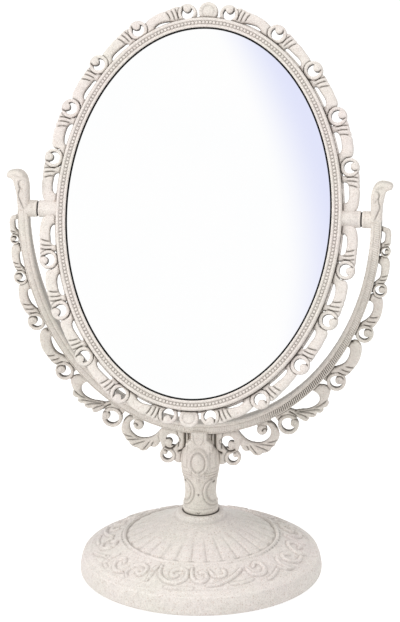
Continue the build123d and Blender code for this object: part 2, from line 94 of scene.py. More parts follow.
# acanthus fan under the fourth volute, with its leaf tips
FAN_OUTER = [(53.2, 96.6), (58.4, 98.9), (61.0, 98.5), (63.2, 97.2), (63.3, 95.6), (62.9, 93.8), (62.3, 92.0), (61.9, 91.0),
             (62.4, 89.8), (62.2, 88.4), (61.2, 87.4), (59.6, 86.8), (60.0, 85.9), (59.4, 84.9), (58.2, 84.3), (56.8, 84.3),
             (56.7, 83.3), (55.8, 82.3), (54.4, 81.8), (53.1, 81.8), (52.9, 80.9), (52.2, 80.0), (51.2, 79.7), (50.0, 80.2),
             (48.6, 80.9), (44.0, 82.4), (40.0, 82.0), (38.4, 84.6), (40.8, 86.7), (45.2, 85.5), (49.1, 85.7), (52.2, 86.1),
             (54.8, 87.1), (56.8, 88.6), (57.9, 90.5), (57.9, 92.5), (56.3, 94.8)]
# inward scroll under the yoke: arm, band that curls over the eye, and leaf fan
ARM_SCROLL = [(28.3, 76.0), (27.0, 79.8), (33.6, 81.6), (34.7, 79.2), (35.6, 78.5), (36.7, 77.6), (37.6, 75.9), (38.4, 73.7),
              (38.7, 72.0), (38.5, 70.6), (37.9, 69.2), (37.1, 68.2), (36.8, 67.2), (36.0, 66.1), (35.0, 65.4), (34.6, 64.4),
              (33.6, 63.4), (32.2, 62.7), (30.8, 62.4), (29.8, 61.6), (28.4, 61.0), (26.8, 61.2), (25.6, 62.0), (24.6, 63.2),
              (23.4, 63.2), (22.0, 63.2), (20.9, 63.9), (20.2, 65.0), (19.5, 66.2), (17.0, 69.0), (13.0, 71.5), (12.0, 74.6),
              (16.0, 75.6), (19.3, 72.6), (20.0, 71.7), (21.4, 70.15), (22.9, 68.9), (24.8, 68.0), (26.8, 67.6), (29.1, 67.65),
              (31.0, 68.2), (32.5, 69.3), (33.6, 70.5), (34.3, 72.1), (34.5, 73.6), (34.2, 75.2), (33.5, 76.2), (32.5, 77.0), (31.6, 75.9)]
SCROLL_EYE = ((30.2, 74.5), 2.6)
# mass between the arm scroll and the neck, with its round opening and eye
NECK_MASS = [(9.0, 74.6), (16.0, 75.6), (19.3, 72.6), (20.2, 69.0), (19.5, 66.2), (18.9, 64.0), (18.3, 62.6), (15.4, 62.2),
             (12.6, 62.4), (10.2, 64.5)]
NECK_HOLE = ((13.6, 67.6), 3.1)
NECK_EYE = ((15.4, 66.1), 1.85)
NECK_RING = ((16.0, 59.3), 3.9, 2.3)
NECK_RING_EYE = ((17.2, 60.9), 1.15)
# tongue that enters the neck, with the strap on each side
TONGUE = [(0.0, 74.7), (10.4, 74.2), (10.2, 66.5), (13.4, 63.5), (12.6, 56.6), (9.6, 55.7), (5.0, 55.7), (5.0, 48.1), (0.0, 48.1)]

NECK_PROFILE = [(8.4, 31.0), (8.6, 32.2), (8.65, 33.6), (8.4, 35.6), (7.85, 38.0), (7.55, 40.8), (7.7, 44.3), (8.15, 47.8),
                (8.8, 51.0), (9.3, 54.0), (9.6, 58.0), (9.3, 61.0), (8.4, 63.3), (6.8, 64.7)]
NECK_SCREW_Z = (52.0, 59.4)
CROWN = [(-6.5, 60.0), (-6.5, 67.2), (-3.9, 69.4), (-3.75, 73.4), (3.75, 73.4), (3.9, 69.4), (6.5, 67.2), (6.5, 60.0)]

BASE_SIDE = [(58.7, 0.5), (59.0, 1.0), (59.2, 2.6), (58.9, 5.0), (58.4, 7.2), (57.9, 8.2), (57.0, 9.1)]
BASE_TOP = [(55.5, 10.3), (53.0, 11.7), (50.0, 13.1), (46.0, 14.9), (42.0, 16.6), (39.6, 17.6), (38.6, 18.1), (38.2, 18.7),
            (37.6, 18.95), (37.0, 18.7), (36.4, 18.3), (30.0, 20.9), (22.0, 24.2), (15.5, 27.1), (12.2, 28.6),
            (11.4, 30.9), (10.9, 31.4), (9.6, 31.5), (8.9, 31.3), (8.75, 31.0)]


# ------------------------------------------------------------------ curves
def spline(pts, per=6, closed=True):
    # cubic through the points, chord-length spacing; natural ends when open
    p = np.array(pts, float)
    n = len(p)
    nxt = np.roll(p, -1, 0)
    h = np.hypot(*(nxt - p).T)
    A, B = np.zeros((n, n)), np.zeros((n, p.shape[1]))
    for i in range(n):
        if not closed and i in (0, n - 1):
            A[i, i] = 1
            continue
        a, b = h[i - 1], h[i]
        A[i, (i - 1) % n] += a
        A[i, i] += 2 * (a + b)
        A[i, (i + 1) % n] += b
        B[i] = 6 * ((nxt[i] - p[i]) / b - (p[i] - p[i - 1]) / a)
    m = np.linalg.solve(A, B)
    out = []
    for i in range(n if closed else n - 1):
        j = (i + 1) % n
        s = np.linspace(0, 1, per, endpoint=False)[:, None]
        out.append((1 - s) * p[i] + s * p[j] + h[i] ** 2 / 6 * (((1 - s) ** 3 - (1 - s)) * m[i] + (s ** 3 - s) * m[j]))
    if not closed:
        out.append(p[-1:])
    return np.concatenate(out)


def dome(x):
    return np.sqrt(np.clip(1 - np.square(x), 0, 1))


def pillow(d, w):
    # 0 at an outline, 1 from w inwards, round in between
    return dome(1 - np.clip(d / w, 0, 1))


def step(x, a, b):
    t = np.clip((x - a) / (b - a), 0, 1)
    return t * t * (3 - 2 * t)


def blur(a, n):
    for axis in (0, 1):
        c = np.zeros_like(a)
        for k in range(-n, n + 1):
            c += np.roll(a, k, axis)
        a = c / (2 * n + 1)
    return a


# ------------------------------------------------------------------ relief drawn on a plane
class Plane:
    """A grid over a flat carving: D is the distance inside its outline, H its half thickness, C the painted shade that
    darkens its crevices.
    """

    def __init__(self, u0, u1, v0, v1, g, floor=0.5):
        self.g = g
        self.u, self.v = np.arange(u0, u1 + g / 2, g), np.arange(v0, v1 + g / 2, g)
        self.U, self.V = np.meshgrid(self.u, self.v, indexing="ij")
        self.D = np.full(self.U.shape, -3.0)
        self.H = np.full(self.U.shape, floor)
        # painted shade in the crevices, from 0 to 1
        self.C = np.zeros(self.U.shape)
        self.open = np.full(self.U.shape, -3.0)
        # how much painted shade the upright walls get
        self.wall = np.full(self.U.shape, 0.5)
        self.floor = floor

    def window(self, pts, m=3.0):
        p = np.asarray(pts, float)
        lo, hi = p.min(0) - m, p.max(0) + m
        i = slice(max(0, int((lo[0] - self.u[0]) / self.g)), max(0, int((hi[0] - self.u[0]) / self.g) + 2))
        j = slice(max(0, int((lo[1] - self.v[0]) / self.g)), max(0, int((hi[1] - self.v[0]) / self.g) + 2))
        return i, j

    def loop(self, pts):
        # (window, signed distance to a closed outline, positive inside)
        w = self.window(pts)
        X, Y = self.U[w], self.V[w]
        best, odd = np.full(X.shape, 1e9), np.zeros(X.shape, bool)
        p = np.asarray(pts, float)
        for (x0, y0), (x1, y1) in zip(p, np.roll(p, -1, 0)):
            ex, ey = x1 - x0, y1 - y0
            wx, wy = X - x0, Y - y0
            t = np.clip((wx * ex + wy * ey) / (ex * ex + ey * ey + 1e-12), 0, 1)
            np.minimum(best, (wx - ex * t) ** 2 + (wy - ey * t) ** 2, out=best)
            if ey:
                odd ^= ((y0 <= Y) != (y1 <= Y)) & (X < x0 + wy * ex / ey)
        return w, np.where(odd, 1, -1) * np.sqrt(best)

    def line(self, pts, m=2.0):
        # (window, distance to an open line, how far along it from 0 to 1)
        w = self.window(pts, m)
        X, Y = self.U[w], self.V[w]
        best, along = np.full(X.shape, 1e9), np.zeros(X.shape)
        p = np.asarray(pts, float)
        seg = np.hypot(*(p[1:] - p[:-1]).T)
        start, total = np.r_[0, np.cumsum(seg)], seg.sum()
        for k, ((x0, y0), (x1, y1)) in enumerate(zip(p[:-1], p[1:])):
            ex, ey = x1 - x0, y1 - y0
            wx, wy = X - x0, Y - y0
            t = np.clip((wx * ex + wy * ey) / (ex * ex + ey * ey + 1e-12), 0, 1)
            d = (wx - ex * t) ** 2 + (wy - ey * t) ** 2
            near = d < best
            best[near] = d[near]
            along[near] = ((start[k] + t * seg[k]) / total)[near]
        return w, np.sqrt(best), along

    def paint(self, w, d, h, moat=0.0, grow=True):
        # a form laid over what is there, with a crevice of depth moat round it and painted shade in that crevice
        if grow:
            self.D[w] = np.maximum(self.D[w], d)
        old = self.H[w]
        if moat:
            edge = np.exp(-np.square(np.clip(-d - 0.12, 0, None) / 0.3))
            old = np.maximum(old - moat * edge, self.floor)
            self.C[w] = np.maximum(self.C[w], np.where(d < 0, edge * np.clip(moat / 0.8, 0, 1), 0) * (self.D[w] > 0))
        top = step(d, -0.12, 0.12)
        self.H[w] = np.where(d > -0.12, np.maximum(old * (1 - top) + h * top, np.where(d > 0.12, h, self.floor)), old)
        self.C[w] = np.where(d > 0.12, 0, self.C[w])

    def groove(self, pts, depth, width, dark=1.0, smooth=True, taper=True, low=0.3):
        pts = spline(pts, 6, False) if smooth and len(pts) > 2 else np.asarray(pts, float)
        w, d, t = self.line(pts)
        k = step(t, 0, 0.18) * (1 - step(t, 0.82, 1)) * 0.6 + 0.4 if taper else 1.0
        cut = np.exp(-np.square(d / width)) * k
        self.H[w] = np.maximum(self.H[w] - depth * cut, low)
        # painted shade along the groove, as strong as dark says
        self.C[w] = np.maximum(self.C[w], cut * dark)

    def ridge(self, pts, height, width, smooth=True):
        pts = spline(pts, 6, False) if smooth and len(pts) > 2 else np.asarray(pts, float)
        w, d, t = self.line(pts)
        self.H[w] += height * dome(np.clip(d / width, 0, 1)) * (step(t, 0, 0.1) * (1 - step(t, 0.9, 1)) * 0.5 + 0.5)

    def volute(self, c, r, hole, eye, er, base, lift, t):
        """A band that curls round its opening and ends in a ball. t points to the side where the ball's end stays free."""
        w = self.window([(c[0] - r, c[1] - r), (c[0] + r, c[1] + r)])
        X, Y = self.U[w], self.V[w]
        rho, rhe = np.hypot(X - c[0], Y - c[1]), np.hypot(X - eye[0], Y - eye[1])
        mid, half = (r + hole) / 2, (r - hole) / 2
        band = base + lift * dome((rho - mid) / (half + 0.35))
        ball = base + (lift + 0.2) * dome(np.clip(rhe / (er + 0.2), 0, 1))
        inside = np.maximum(r - rho, er - rhe)
        h = np.where(rhe < er + 0.1, np.maximum(ball, np.where(rho > hole, band, 0)), np.where(rho < hole - 0.1, self.floor, band))
        self.paint(w, inside, h, moat=0.6)
        self.open[w] = np.maximum(self.open[w], np.minimum(hole - rho, rhe - er))
        toward = np.array(eye, float) - np.array(c, float)
        side = 1 if t[0] * toward[1] - t[1] * toward[0] > 0 else -1
        a0 = math.atan2(t[1], t[0])
        arc = [np.array(eye) + (er + 0.12) * np.array([math.cos(a0 + side * q), math.sin(a0 + side * q)])
               for q in np.radians([-72, -50, -25, 0, 22, 42])]
        # crevice round the ball's free end, with painted shade in it
        self.groove(arc, 0.85, 0.3, 1.0, taper=True, low=base * 0.45)
        soft = [np.array(eye) + (er + 0.1) * np.array([math.cos(a0 + side * q), math.sin(a0 + side * q)])
                for q in np.radians([50, 90, 130, 170])]
        # faint groove round the rest of the ball, with a little painted shade
        self.groove(soft, 0.16, 0.4, 0.12, low=base * 0.45)

    def cut(self):
        self.D = np.minimum(self.D, -self.open)

    def mirrored(self, u=True, v=False):
        for a in ("D", "H", "C", "wall"):
            m = getattr(self, a)
            if u:
                m = np.concatenate([m[:0:-1], m], 0)
            if v:
                m = np.concatenate([m[:, :0:-1], m], 1)
            setattr(self, a, m)
        if u:
            self.u = np.concatenate([-self.u[:0:-1], self.u])
        if v:
            self.v = np.concatenate([-self.v[:0:-1], self.v])
        self.U, self.V = np.meshgrid(self.u, self.v, indexing="ij")

    def sample(self, a, x, y):
        i = np.clip((x - self.u[0]) / self.g, 0, len(self.u) - 1.001)
        j = np.clip((y - self.v[0]) / self.g, 0, len(self.v) - 1.001)
        i0, j0 = i.astype(int), j.astype(int)
        fi, fj = i - i0, j - j0
        return (a[i0, j0] * (1 - fi) * (1 - fj) + a[i0 + 1, j0] * fi * (1 - fj)
                + a[i0, j0 + 1] * (1 - fi) * fj + a[i0 + 1, j0 + 1] * fi * fj)

    def carve(self, edge, top, dy=0.24, adapt=0.0):
        """The half solid, its flat side at height 0, as a closed mesh: points (u, height, v), faces and painted shade
        values for crevices and walls.
        """
        ys = np.arange(-2 * dy, top + 3 * dy, dy)
        R = np.minimum(edge, self.H * 0.6)
        q1 = R - self.D
        vol = np.empty((len(self.u), len(ys), len(self.v)), np.float32)
        for k, y in enumerate(ys):
            q2 = y - self.H + R
            f = np.minimum(np.maximum(q1, q2), 0) + np.hypot(np.maximum(q1, 0), np.maximum(q2, 0)) - R
            vol[:, k, :] = np.maximum(f, 0.03 - y)
        v, f = mesh_volume(vol, (self.u[0], ys[0], self.v[0]), (self.g, dy, self.g), adapt)
        c = self.sample(self.C, v[:, 0], v[:, 2])
        h = self.sample(self.H, v[:, 0], v[:, 2])
        d = self.sample(self.D, v[:, 0], v[:, 2])
        # painted shade on the upright walls, as strong as the wall map says there
        wall = step(h - v[:, 1], 0.3, 0.75) * (1 - step(d, 0.25, 0.6))
        wall_shade_amount = self.sample(self.wall, v[:, 0], v[:, 2])
        return {"v": v, "f": f, "c": np.maximum(c, wall * wall_shade_amount)}

    def shade_walls(self, inner, outer):
        """How much painted shade the upright walls get: inner round enclosed openings, outer on the free outline."""
        solid = self.D > 0
        out = np.zeros(solid.shape, bool)
        out[0, :] = out[-1, :] = out[:, 0] = out[:, -1] = True
        out &= ~solid
        while True:
            grow = out.copy()
            for axis in (0, 1):
                for step_ in (1, -1):
                    for _ in range(3):
                        grow |= np.roll(grow, step_, axis) & ~solid
            if (grow == out).all():
                break
            out = grow
        holes = (~solid & ~out).astype(float)
        near = np.clip(blur(holes, max(2, int(round(0.9 / self.g)))) * 6, 0, 1)
        self.wall = outer + (inner - outer) * near


def mesh_volume(vol, origin, steps, adapt=0.0):
    band = 3 * max(steps)
    grid = openvdb.FloatGrid(band)
    grid.copyFromArray(np.ascontiguousarray(np.clip(vol, -band, band)), tolerance=0.0)
    p, tri, quad = grid.convertToPolygons(0.0, adapt)
    v = np.asarray(p, float) * np.array(steps) + np.array(origin)
    return v, orient(v, [np.asarray(quad, np.int64).reshape(-1, 4), np.asarray(tri, np.int64).reshape(-1, 3)])


def orient(v, faces):
    # faces turned so that a closed mesh has its volume inside
    vol = 0.0
    for f in faces:
        for k in range(1, f.shape[1] - 1):
            a, b, c = v[f[:, 0]], v[f[:, k]], v[f[:, k + 1]]
            vol += np.einsum("ij,ij->i", a, np.cross(b, c)).sum()
    return [f[:, ::-1] for f in faces] if vol < 0 else faces


def sweep(grid, close_u=True, close_v=True, shade_val=None):
    """Closed mesh from a grid of points [along, round the section, xyz]."""
    n, m = grid.shape[:2]
    idx = np.arange(n * m).reshape(n, m)
    i2 = np.roll(idx, -1, 0) if close_u else idx[1:]
    a = idx if close_u else idx[:-1]
    b = i2
    if close_v:
        q = np.stack([a, b, np.roll(b, -1, 1), np.roll(a, -1, 1)], -1).reshape(-1, 4)
    else:
        q = np.stack([a[:, :-1], b[:, :-1], b[:, 1:], a[:, 1:]], -1).reshape(-1, 4)
    v = grid.reshape(-1, 3)
    # per-point painted shade, none unless given
    c = np.zeros(len(v)) if shade_val is None else shade_val.reshape(-1)
    tris = np.zeros((0, 3), np.int64)
    if not close_u:
        caps, vv, cc = [], [v], [c]
        for row, base in ((idx[0], len(v)), (idx[-1], len(v) + 1)):
            vv.append(v[row].mean(0)[None])
            cc.append(c[row].mean()[None] if hasattr(c[row].mean(), "__getitem__") else np.array([c[row].mean()]))
            nx = np.roll(row, -1)
            pick = slice(None) if close_v else slice(0, -1)
            t = np.stack([row[pick], nx[pick], np.full(len(row), base)[pick]], -1)
            caps.append(t if base == len(v) else t[:, ::-1])
        v, c = np.concatenate(vv), np.concatenate(cc)
        tris = np.concatenate(caps)
    return {"v": v, "f": orient(v, [q, tris]), "c": c}


def revolve_x(profile, seg=56, half=None, z=0.0):
    """Solid of revolution about X from (x, r) points; half is -1 or +1 for the front or rear half only."""
    p = np.array(profile, float)
    if half is None:
        a = np.linspace(0, 2 * math.pi, seg, endpoint=False)
        g = np.stack([np.stack([p[:, 0], p[:, 1] * math.cos(t), p[:, 1] * math.sin(t) + z], -1) for t in a])
        return sweep(g)
    a = np.linspace(-math.pi / 2, math.pi / 2, seg // 2 + 1)
    g = np.stack([np.stack([p[:, 0], half * (p[:, 1] * math.cos(t) + 0.03), p[:, 1] * math.sin(t) + z], -1) for t in a])
    return sweep(g, close_u=False)


def add_object(name, pieces, mats, turn=None, sharp=None):
    """One mesh object from several closed pieces in millimetres. turn places local points in the frame."""
    vs, cs, loops, starts, mi = [], [], [], [], []
    off = lo = 0
    for p in pieces:
        v = np.asarray(p["v"], float)
        for f in p["f"]:
            if not len(f):
                continue
            k = f.shape[1]
            loops.append((f + off).ravel())
            starts.append(lo + np.arange(len(f)) * k)
            m = p.get("m", 0)
            mi.append(np.full(len(f), m) if np.isscalar(m) else np.asarray(m[k]))
            lo += f.size
        vs.append(v)
        cs.append(np.asarray(p["c"], float))
        off += len(v)
    v = np.concatenate(vs)
    if turn is not None:
        v = turn(v)
    me = bpy.data.meshes.new(name)
    me.vertices.add(off)
    me.vertices.foreach_set("co", (v * MM).astype(np.float32).ravel())
    me.loops.add(lo)
    me.loops.foreach_set("vertex_index", np.concatenate(loops).astype(np.int32))
    st = np.concatenate(starts).astype(np.int32)
    me.polygons.add(len(st))
    me.polygons.foreach_set("loop_start", st)
    me.polygons.foreach_set("material_index", np.concatenate(mi).astype(np.int32))
    me.update(calc_edges=True)
    me.validate()
    me.shade_smooth()
    if sharp:
        me.set_sharp_from_angle(angle=math.radians(sharp))
    # painted shade for crevices and walls, carried to the material as a point attribute
    at = me.attributes.new("painted_shade", "FLOAT", "POINT")
    at.data.foreach_set("value", np.concatenate(cs).astype(np.float32))
    for m in mats:
        me.materials.append(m)
    ob = bpy.data.objects.new(name, me)
    bpy.context.scene.collection.objects.link(ob)
    return ob


def tilted(v):
    c, s = math.cos(TILT), math.sin(TILT)
    return np.stack([v[:, 0], v[:, 1] * c + v[:, 2] * s, PIVOT_H - v[:, 1] * s + v[:, 2] * c], -1)


def faced(piece, side):
    """Carved heights become depth on the front (-1) or rear (+1) side."""
    v = piece["v"].copy()
    v[:, 1] *= side
    return {**piece, "v": v, "f": orient(v, piece["f"])}


# ------------------------------------------------------------------ materials
def nodes_of(mat):
    mat.use_nodes = True
    nt = mat.node_tree
    nt.nodes.clear()
    out = nt.nodes.new("ShaderNodeOutputMaterial")
    bsdf = nt.nodes.new("ShaderNodeBsdfPrincipled")
    nt.links.new(bsdf.outputs[0], out.inputs[0])
    return nt, bsdf


def node(nt, kind, **sockets):
    n = nt.nodes.new("ShaderNode" + kind)
    for k, x in sockets.items():
        if k in n.inputs:
            n.inputs[k].default_value = x
        else:
            setattr(n, k, x)
    return n


def lin(r, g, b):
    f = lambda x: (x / 255 / 12.92) if x / 255 <= 0.04045 else ((x / 255 + 0.055) / 1.055) ** 2.4
    return (f(r), f(g), f(b), 1)


def mix(nt, fac, a, b, blend="MIX"):
    n = nt.nodes.new("ShaderNodeMix")
    n.data_type, n.blend_type = "RGBA", blend
    for sock, x in ((n.inputs[0], fac), (n.inputs[6], a), (n.inputs[7], b)):
        if hasattr(x, "is_output"):
            nt.links.new(x, sock)
        else:
            sock.default_value = x
    return n.outputs[2]


def ramp(nt, src, stops):
    n = nt.nodes.new("ShaderNodeValToRGB")
    el = n.color_ramp.elements
    while len(el) > len(stops):
        el.remove(el[-1])
    while len(el) < len(stops):
        el.new(0.5)
    for e, (p, c) in zip(el, stops):
        e.position, e.color = p, c if len(c) == 4 else (*c, 1)
    nt.links.new(src, n.inputs[0])
    return n.outputs[0]


def grey(x):
    return (x, x, x, 1)


def maths(nt, op, a, b=None, clamp=False):
    n = nt.nodes.new("ShaderNodeMath")
    n.operation, n.use_clamp = op, clamp
    for sock, x in zip(n.inputs, (a, b)):
        if x is None:
            continue
        if hasattr(x, "is_output"):
            nt.links.new(x, sock)
        else:
            sock.default_value = x
    return n.outputs[0]


def straw_plastic(name, shade=1.0, specks=1.0, hue=(0, 0, 0)):
    """Satin moulded plastic filled with ground straw: warm off-white, mottled, with fine brown and pink specks, and
    painted shade in its crevices and on its walls.
    """
    mat = bpy.data.materials.new(name)
    nt, b = nodes_of(mat)
    L = nt.links
    tc = nt.nodes.new("ShaderNodeTexCoord").outputs["Object"]

    def noise(scale, detail=2.0, rough=0.5):
        n = node(nt, "TexNoise", Scale=scale, Detail=detail, Roughness=rough)
        L.new(tc, n.inputs["Vector"])
        return n.outputs["Fac"]

    def flecks(scale, size, keep, stretch=(1, 1, 1)):
        mp = node(nt, "Mapping")
        mp.inputs["Scale"].default_value = stretch
        L.new(tc, mp.inputs["Vector"])
        v = node(nt, "TexVoronoi", Scale=scale)
        L.new(mp.outputs[0], v.inputs["Vector"])
        spot = ramp(nt, v.outputs["Distance"], [(size * 0.55, grey(1)), (size, grey(0))])
        sep = nt.nodes.new("ShaderNodeSeparateColor")
        L.new(v.outputs["Color"], sep.inputs[0])
        there = maths(nt, "LESS_THAN", sep.outputs[0], keep)
        return maths(nt, "MULTIPLY", spot, there), sep.outputs[1]

    tint = lambda *c: lin(*(np.array(c) * shade + np.array(hue)))
    base = ramp(nt, noise(38, 3, 0.6), [(0.30, tint(224, 219, 211)), (0.5, tint(228, 221, 215)), (0.70, tint(227, 218, 214))])
    blotch = ramp(nt, noise(420, 4, 0.7), [(0.35, grey(1 - 0.05 * specks)), (0.65, grey(1 + 0.035 * specks))])
    col = mix(nt, 1.0, base, blotch, "MULTIPLY")
    grain = ramp(nt, noise(1900, 3, 0.75), [(0.32, grey(0.80)), (0.5, grey(1.0)), (0.68, grey(1.12))])
    col = mix(nt, 1.0, col, grain, "MULTIPLY")
    m1, tint1 = flecks(820, 0.36, 0.34)
    m2, tint2 = flecks(1350, 0.36, 0.5)
    m3, tint3 = flecks(520, 0.18, 0.12, (1, 1, 0.4))
    c1 = ramp(nt, tint1, [(0.0, lin(168, 140, 122)), (0.5, lin(190, 158, 150)), (1.0, lin(150, 138, 118))])
    c2 = ramp(nt, tint2, [(0.0, lin(186, 164, 150)), (1.0, lin(204, 186, 172))])
    col = mix(nt, maths(nt, "MULTIPLY", m2, 0.42 * specks), col, c2)
    col = mix(nt, maths(nt, "MULTIPLY", m1, 0.27 * specks), col, c1)
    col = mix(nt, maths(nt, "MULTIPLY", m3, 0.22 * specks), col, lin(150, 126, 96))
    # painted shade: crevices and walls mixed towards a dark brown
    at = node(nt, "Attribute", attribute_name="painted_shade")
    shade_val = ramp(nt, at.outputs["Fac"], [(0.0, grey(0)), (0.35, grey(0.25)), (1.0, grey(1))])
    col = mix(nt, maths(nt, "MULTIPLY", shade_val, 0.97), col, lin(76, 68, 58), "MIX")
    L.new(col, b.inputs["Base Color"])
    rough = ramp(nt, noise(900, 3, 0.6), [(0.3, grey(0.40)), (0.7, grey(0.54))])
    L.new(rough, b.inputs["Roughness"])
    b.inputs["Specular IOR Level"].default_value = 0.34
    b.inputs["IOR"].default_value = 1.47
    hsum = maths(nt, "ADD", maths(nt, "MULTIPLY", noise(1900, 3, 0.6), 0.7), maths(nt, "MULTIPLY", noise(320, 2, 0.5), 0.9))
    hsum = maths(nt, "SUBTRACT", hsum, maths(nt, "MULTIPLY", m1, 0.25))
    bump = node(nt, "Bump", Strength=0.35, Distance=0.00006)
    L.new(hsum, bump.inputs["Height"])
    L.new(bump.outputs[0], b.inputs["Normal"])
    return mat


def simple(name, tints, scale, rough, metallic=0.0, spec=0.5, bump=0.00002, stretch=(1, 1, 1), fine=1400):
    """A plain technical finish: two tints mottled, uneven gloss and a fine surface grain."""
    mat = bpy.data.materials.new(name)
    nt, b = nodes_of(mat)
    L = nt.links
    tc = nt.nodes.new("ShaderNodeTexCoord").outputs["Object"]
    mp = node(nt, "Mapping")
    mp.inputs["Scale"].default_value = stretch
    L.new(tc, mp.inputs["Vector"])

    def noise(s, d):
        n = node(nt, "TexNoise", Scale=s, Detail=d, Roughness=0.6)
        L.new(mp.outputs[0], n.inputs["Vector"])
        return n.outputs["Fac"]

    L.new(ramp(nt, noise(scale, 4), [(0.3, lin(*tints[0])), (0.7, lin(*tints[1]))]), b.inputs["Base Color"])
    L.new(ramp(nt, noise(scale * 1.7, 3), [(0.3, grey(rough[0])), (0.7, grey(rough[1]))]), b.inputs["Roughness"])
    b.inputs["Metallic"].default_value = metallic
    b.inputs["Specular IOR Level"].default_value = spec
    bp = node(nt, "Bump", Strength=0.4, Distance=bump)
    L.new(noise(fine, 3), bp.inputs["Height"])
    L.new(bp.outputs[0], b.inputs["Normal"])
    return mat


def mirror_finish():
    """Silvered glass: a clean mirror with the faintest unevenness in tint and gloss."""
    mat = bpy.data.materials.new("silvered_glass")
    nt, b = nodes_of(mat)
    L = nt.links
    tc = nt.nodes.new("ShaderNodeTexCoord").outputs["Object"]
    n = node(nt, "TexNoise", Scale=24.0, Detail=2.0)
    L.new(tc, n.inputs["Vector"])
    L.new(ramp(nt, n.outputs["Fac"], [(0.3, (0.985, 0.99, 0.992, 1)), (0.7, (0.995, 0.995, 0.995, 1))]), b.inputs["Base Color"])
    n2 = node(nt, "TexNoise", Scale=160.0, Detail=5.0)
    L.new(tc, n2.inputs["Vector"])
    L.new(ramp(nt, n2.outputs["Fac"], [(0.45, grey(0.012)), (0.8, grey(0.03))]), b.inputs["Roughness"])
    b.inputs["Metallic"].default_value = 1.0
    return mat


PLASTIC_HEAD = straw_plastic("straw_plastic_head", 0.975, 1.0, (0, 0, 0))
PLASTIC_STAND = straw_plastic("straw_plastic_stand", 0.965, 1.1, (0, 0, -2))
PLASTIC_BASE = straw_plastic("straw_plastic_base", 0.985, 1.5, (0, 0.5, 1))
MIRROR = mirror_finish()
# near-black edge: the glass's ground edge, and painted shade of the gap under the rim's lip
EDGE_AND_GAP_SHADE = simple("glass_edge_and_gap_shade", [(10, 11, 12), (22, 23, 23)], 300, (0.5, 0.65), 0.0, 0.12)
STEEL = simple("zinc_steel", [(158, 160, 163), (186, 187, 188)], 700, (0.28, 0.45), 1.0, 0.5)
BRASS = simple("turned_brass", [(190, 150, 74), (214, 178, 98)], 500, (0.25, 0.42), 1.0, 0.5)
BOARD = simple("pressed_board", [(146, 116, 84), (178, 148, 112)], 420, (0.8, 0.95), 0.0, 0.2, 0.00008)
NYLON = simple("bush_plastic", [(228, 227, 222), (238, 237, 233)], 300, (0.35, 0.5), 0.0, 0.45)
RUBBER = simple("washer_rubber", [(12, 12, 12), (24, 23, 22)], 500, (0.7, 0.85), 0.0, 0.3, 0.00004)
FOAM = simple("pad_foam", [(48, 48, 47), (72, 71, 69)], 900, (0.9, 1.0), 0.0, 0.15, 0.00015, fine=2200)


# ------------------------------------------------------------------ oval rim and filigree
def offset_of(U, V, a, b):
    # how far the ellipse (a, b) has to grow on both half axes to pass through each point
    s = np.hypot(U, V) - a
    for _ in range(12):
        s = np.maximum(s, 1.0 - a)
        f = (U / (a + s)) ** 2 + (V / (b + s)) ** 2 - 1
        df = -2 * (U ** 2 / (a + s) ** 3 + V ** 2 / (b + s) ** 3)
        s = s - f / np.minimum(df, -1e-6)
    return s


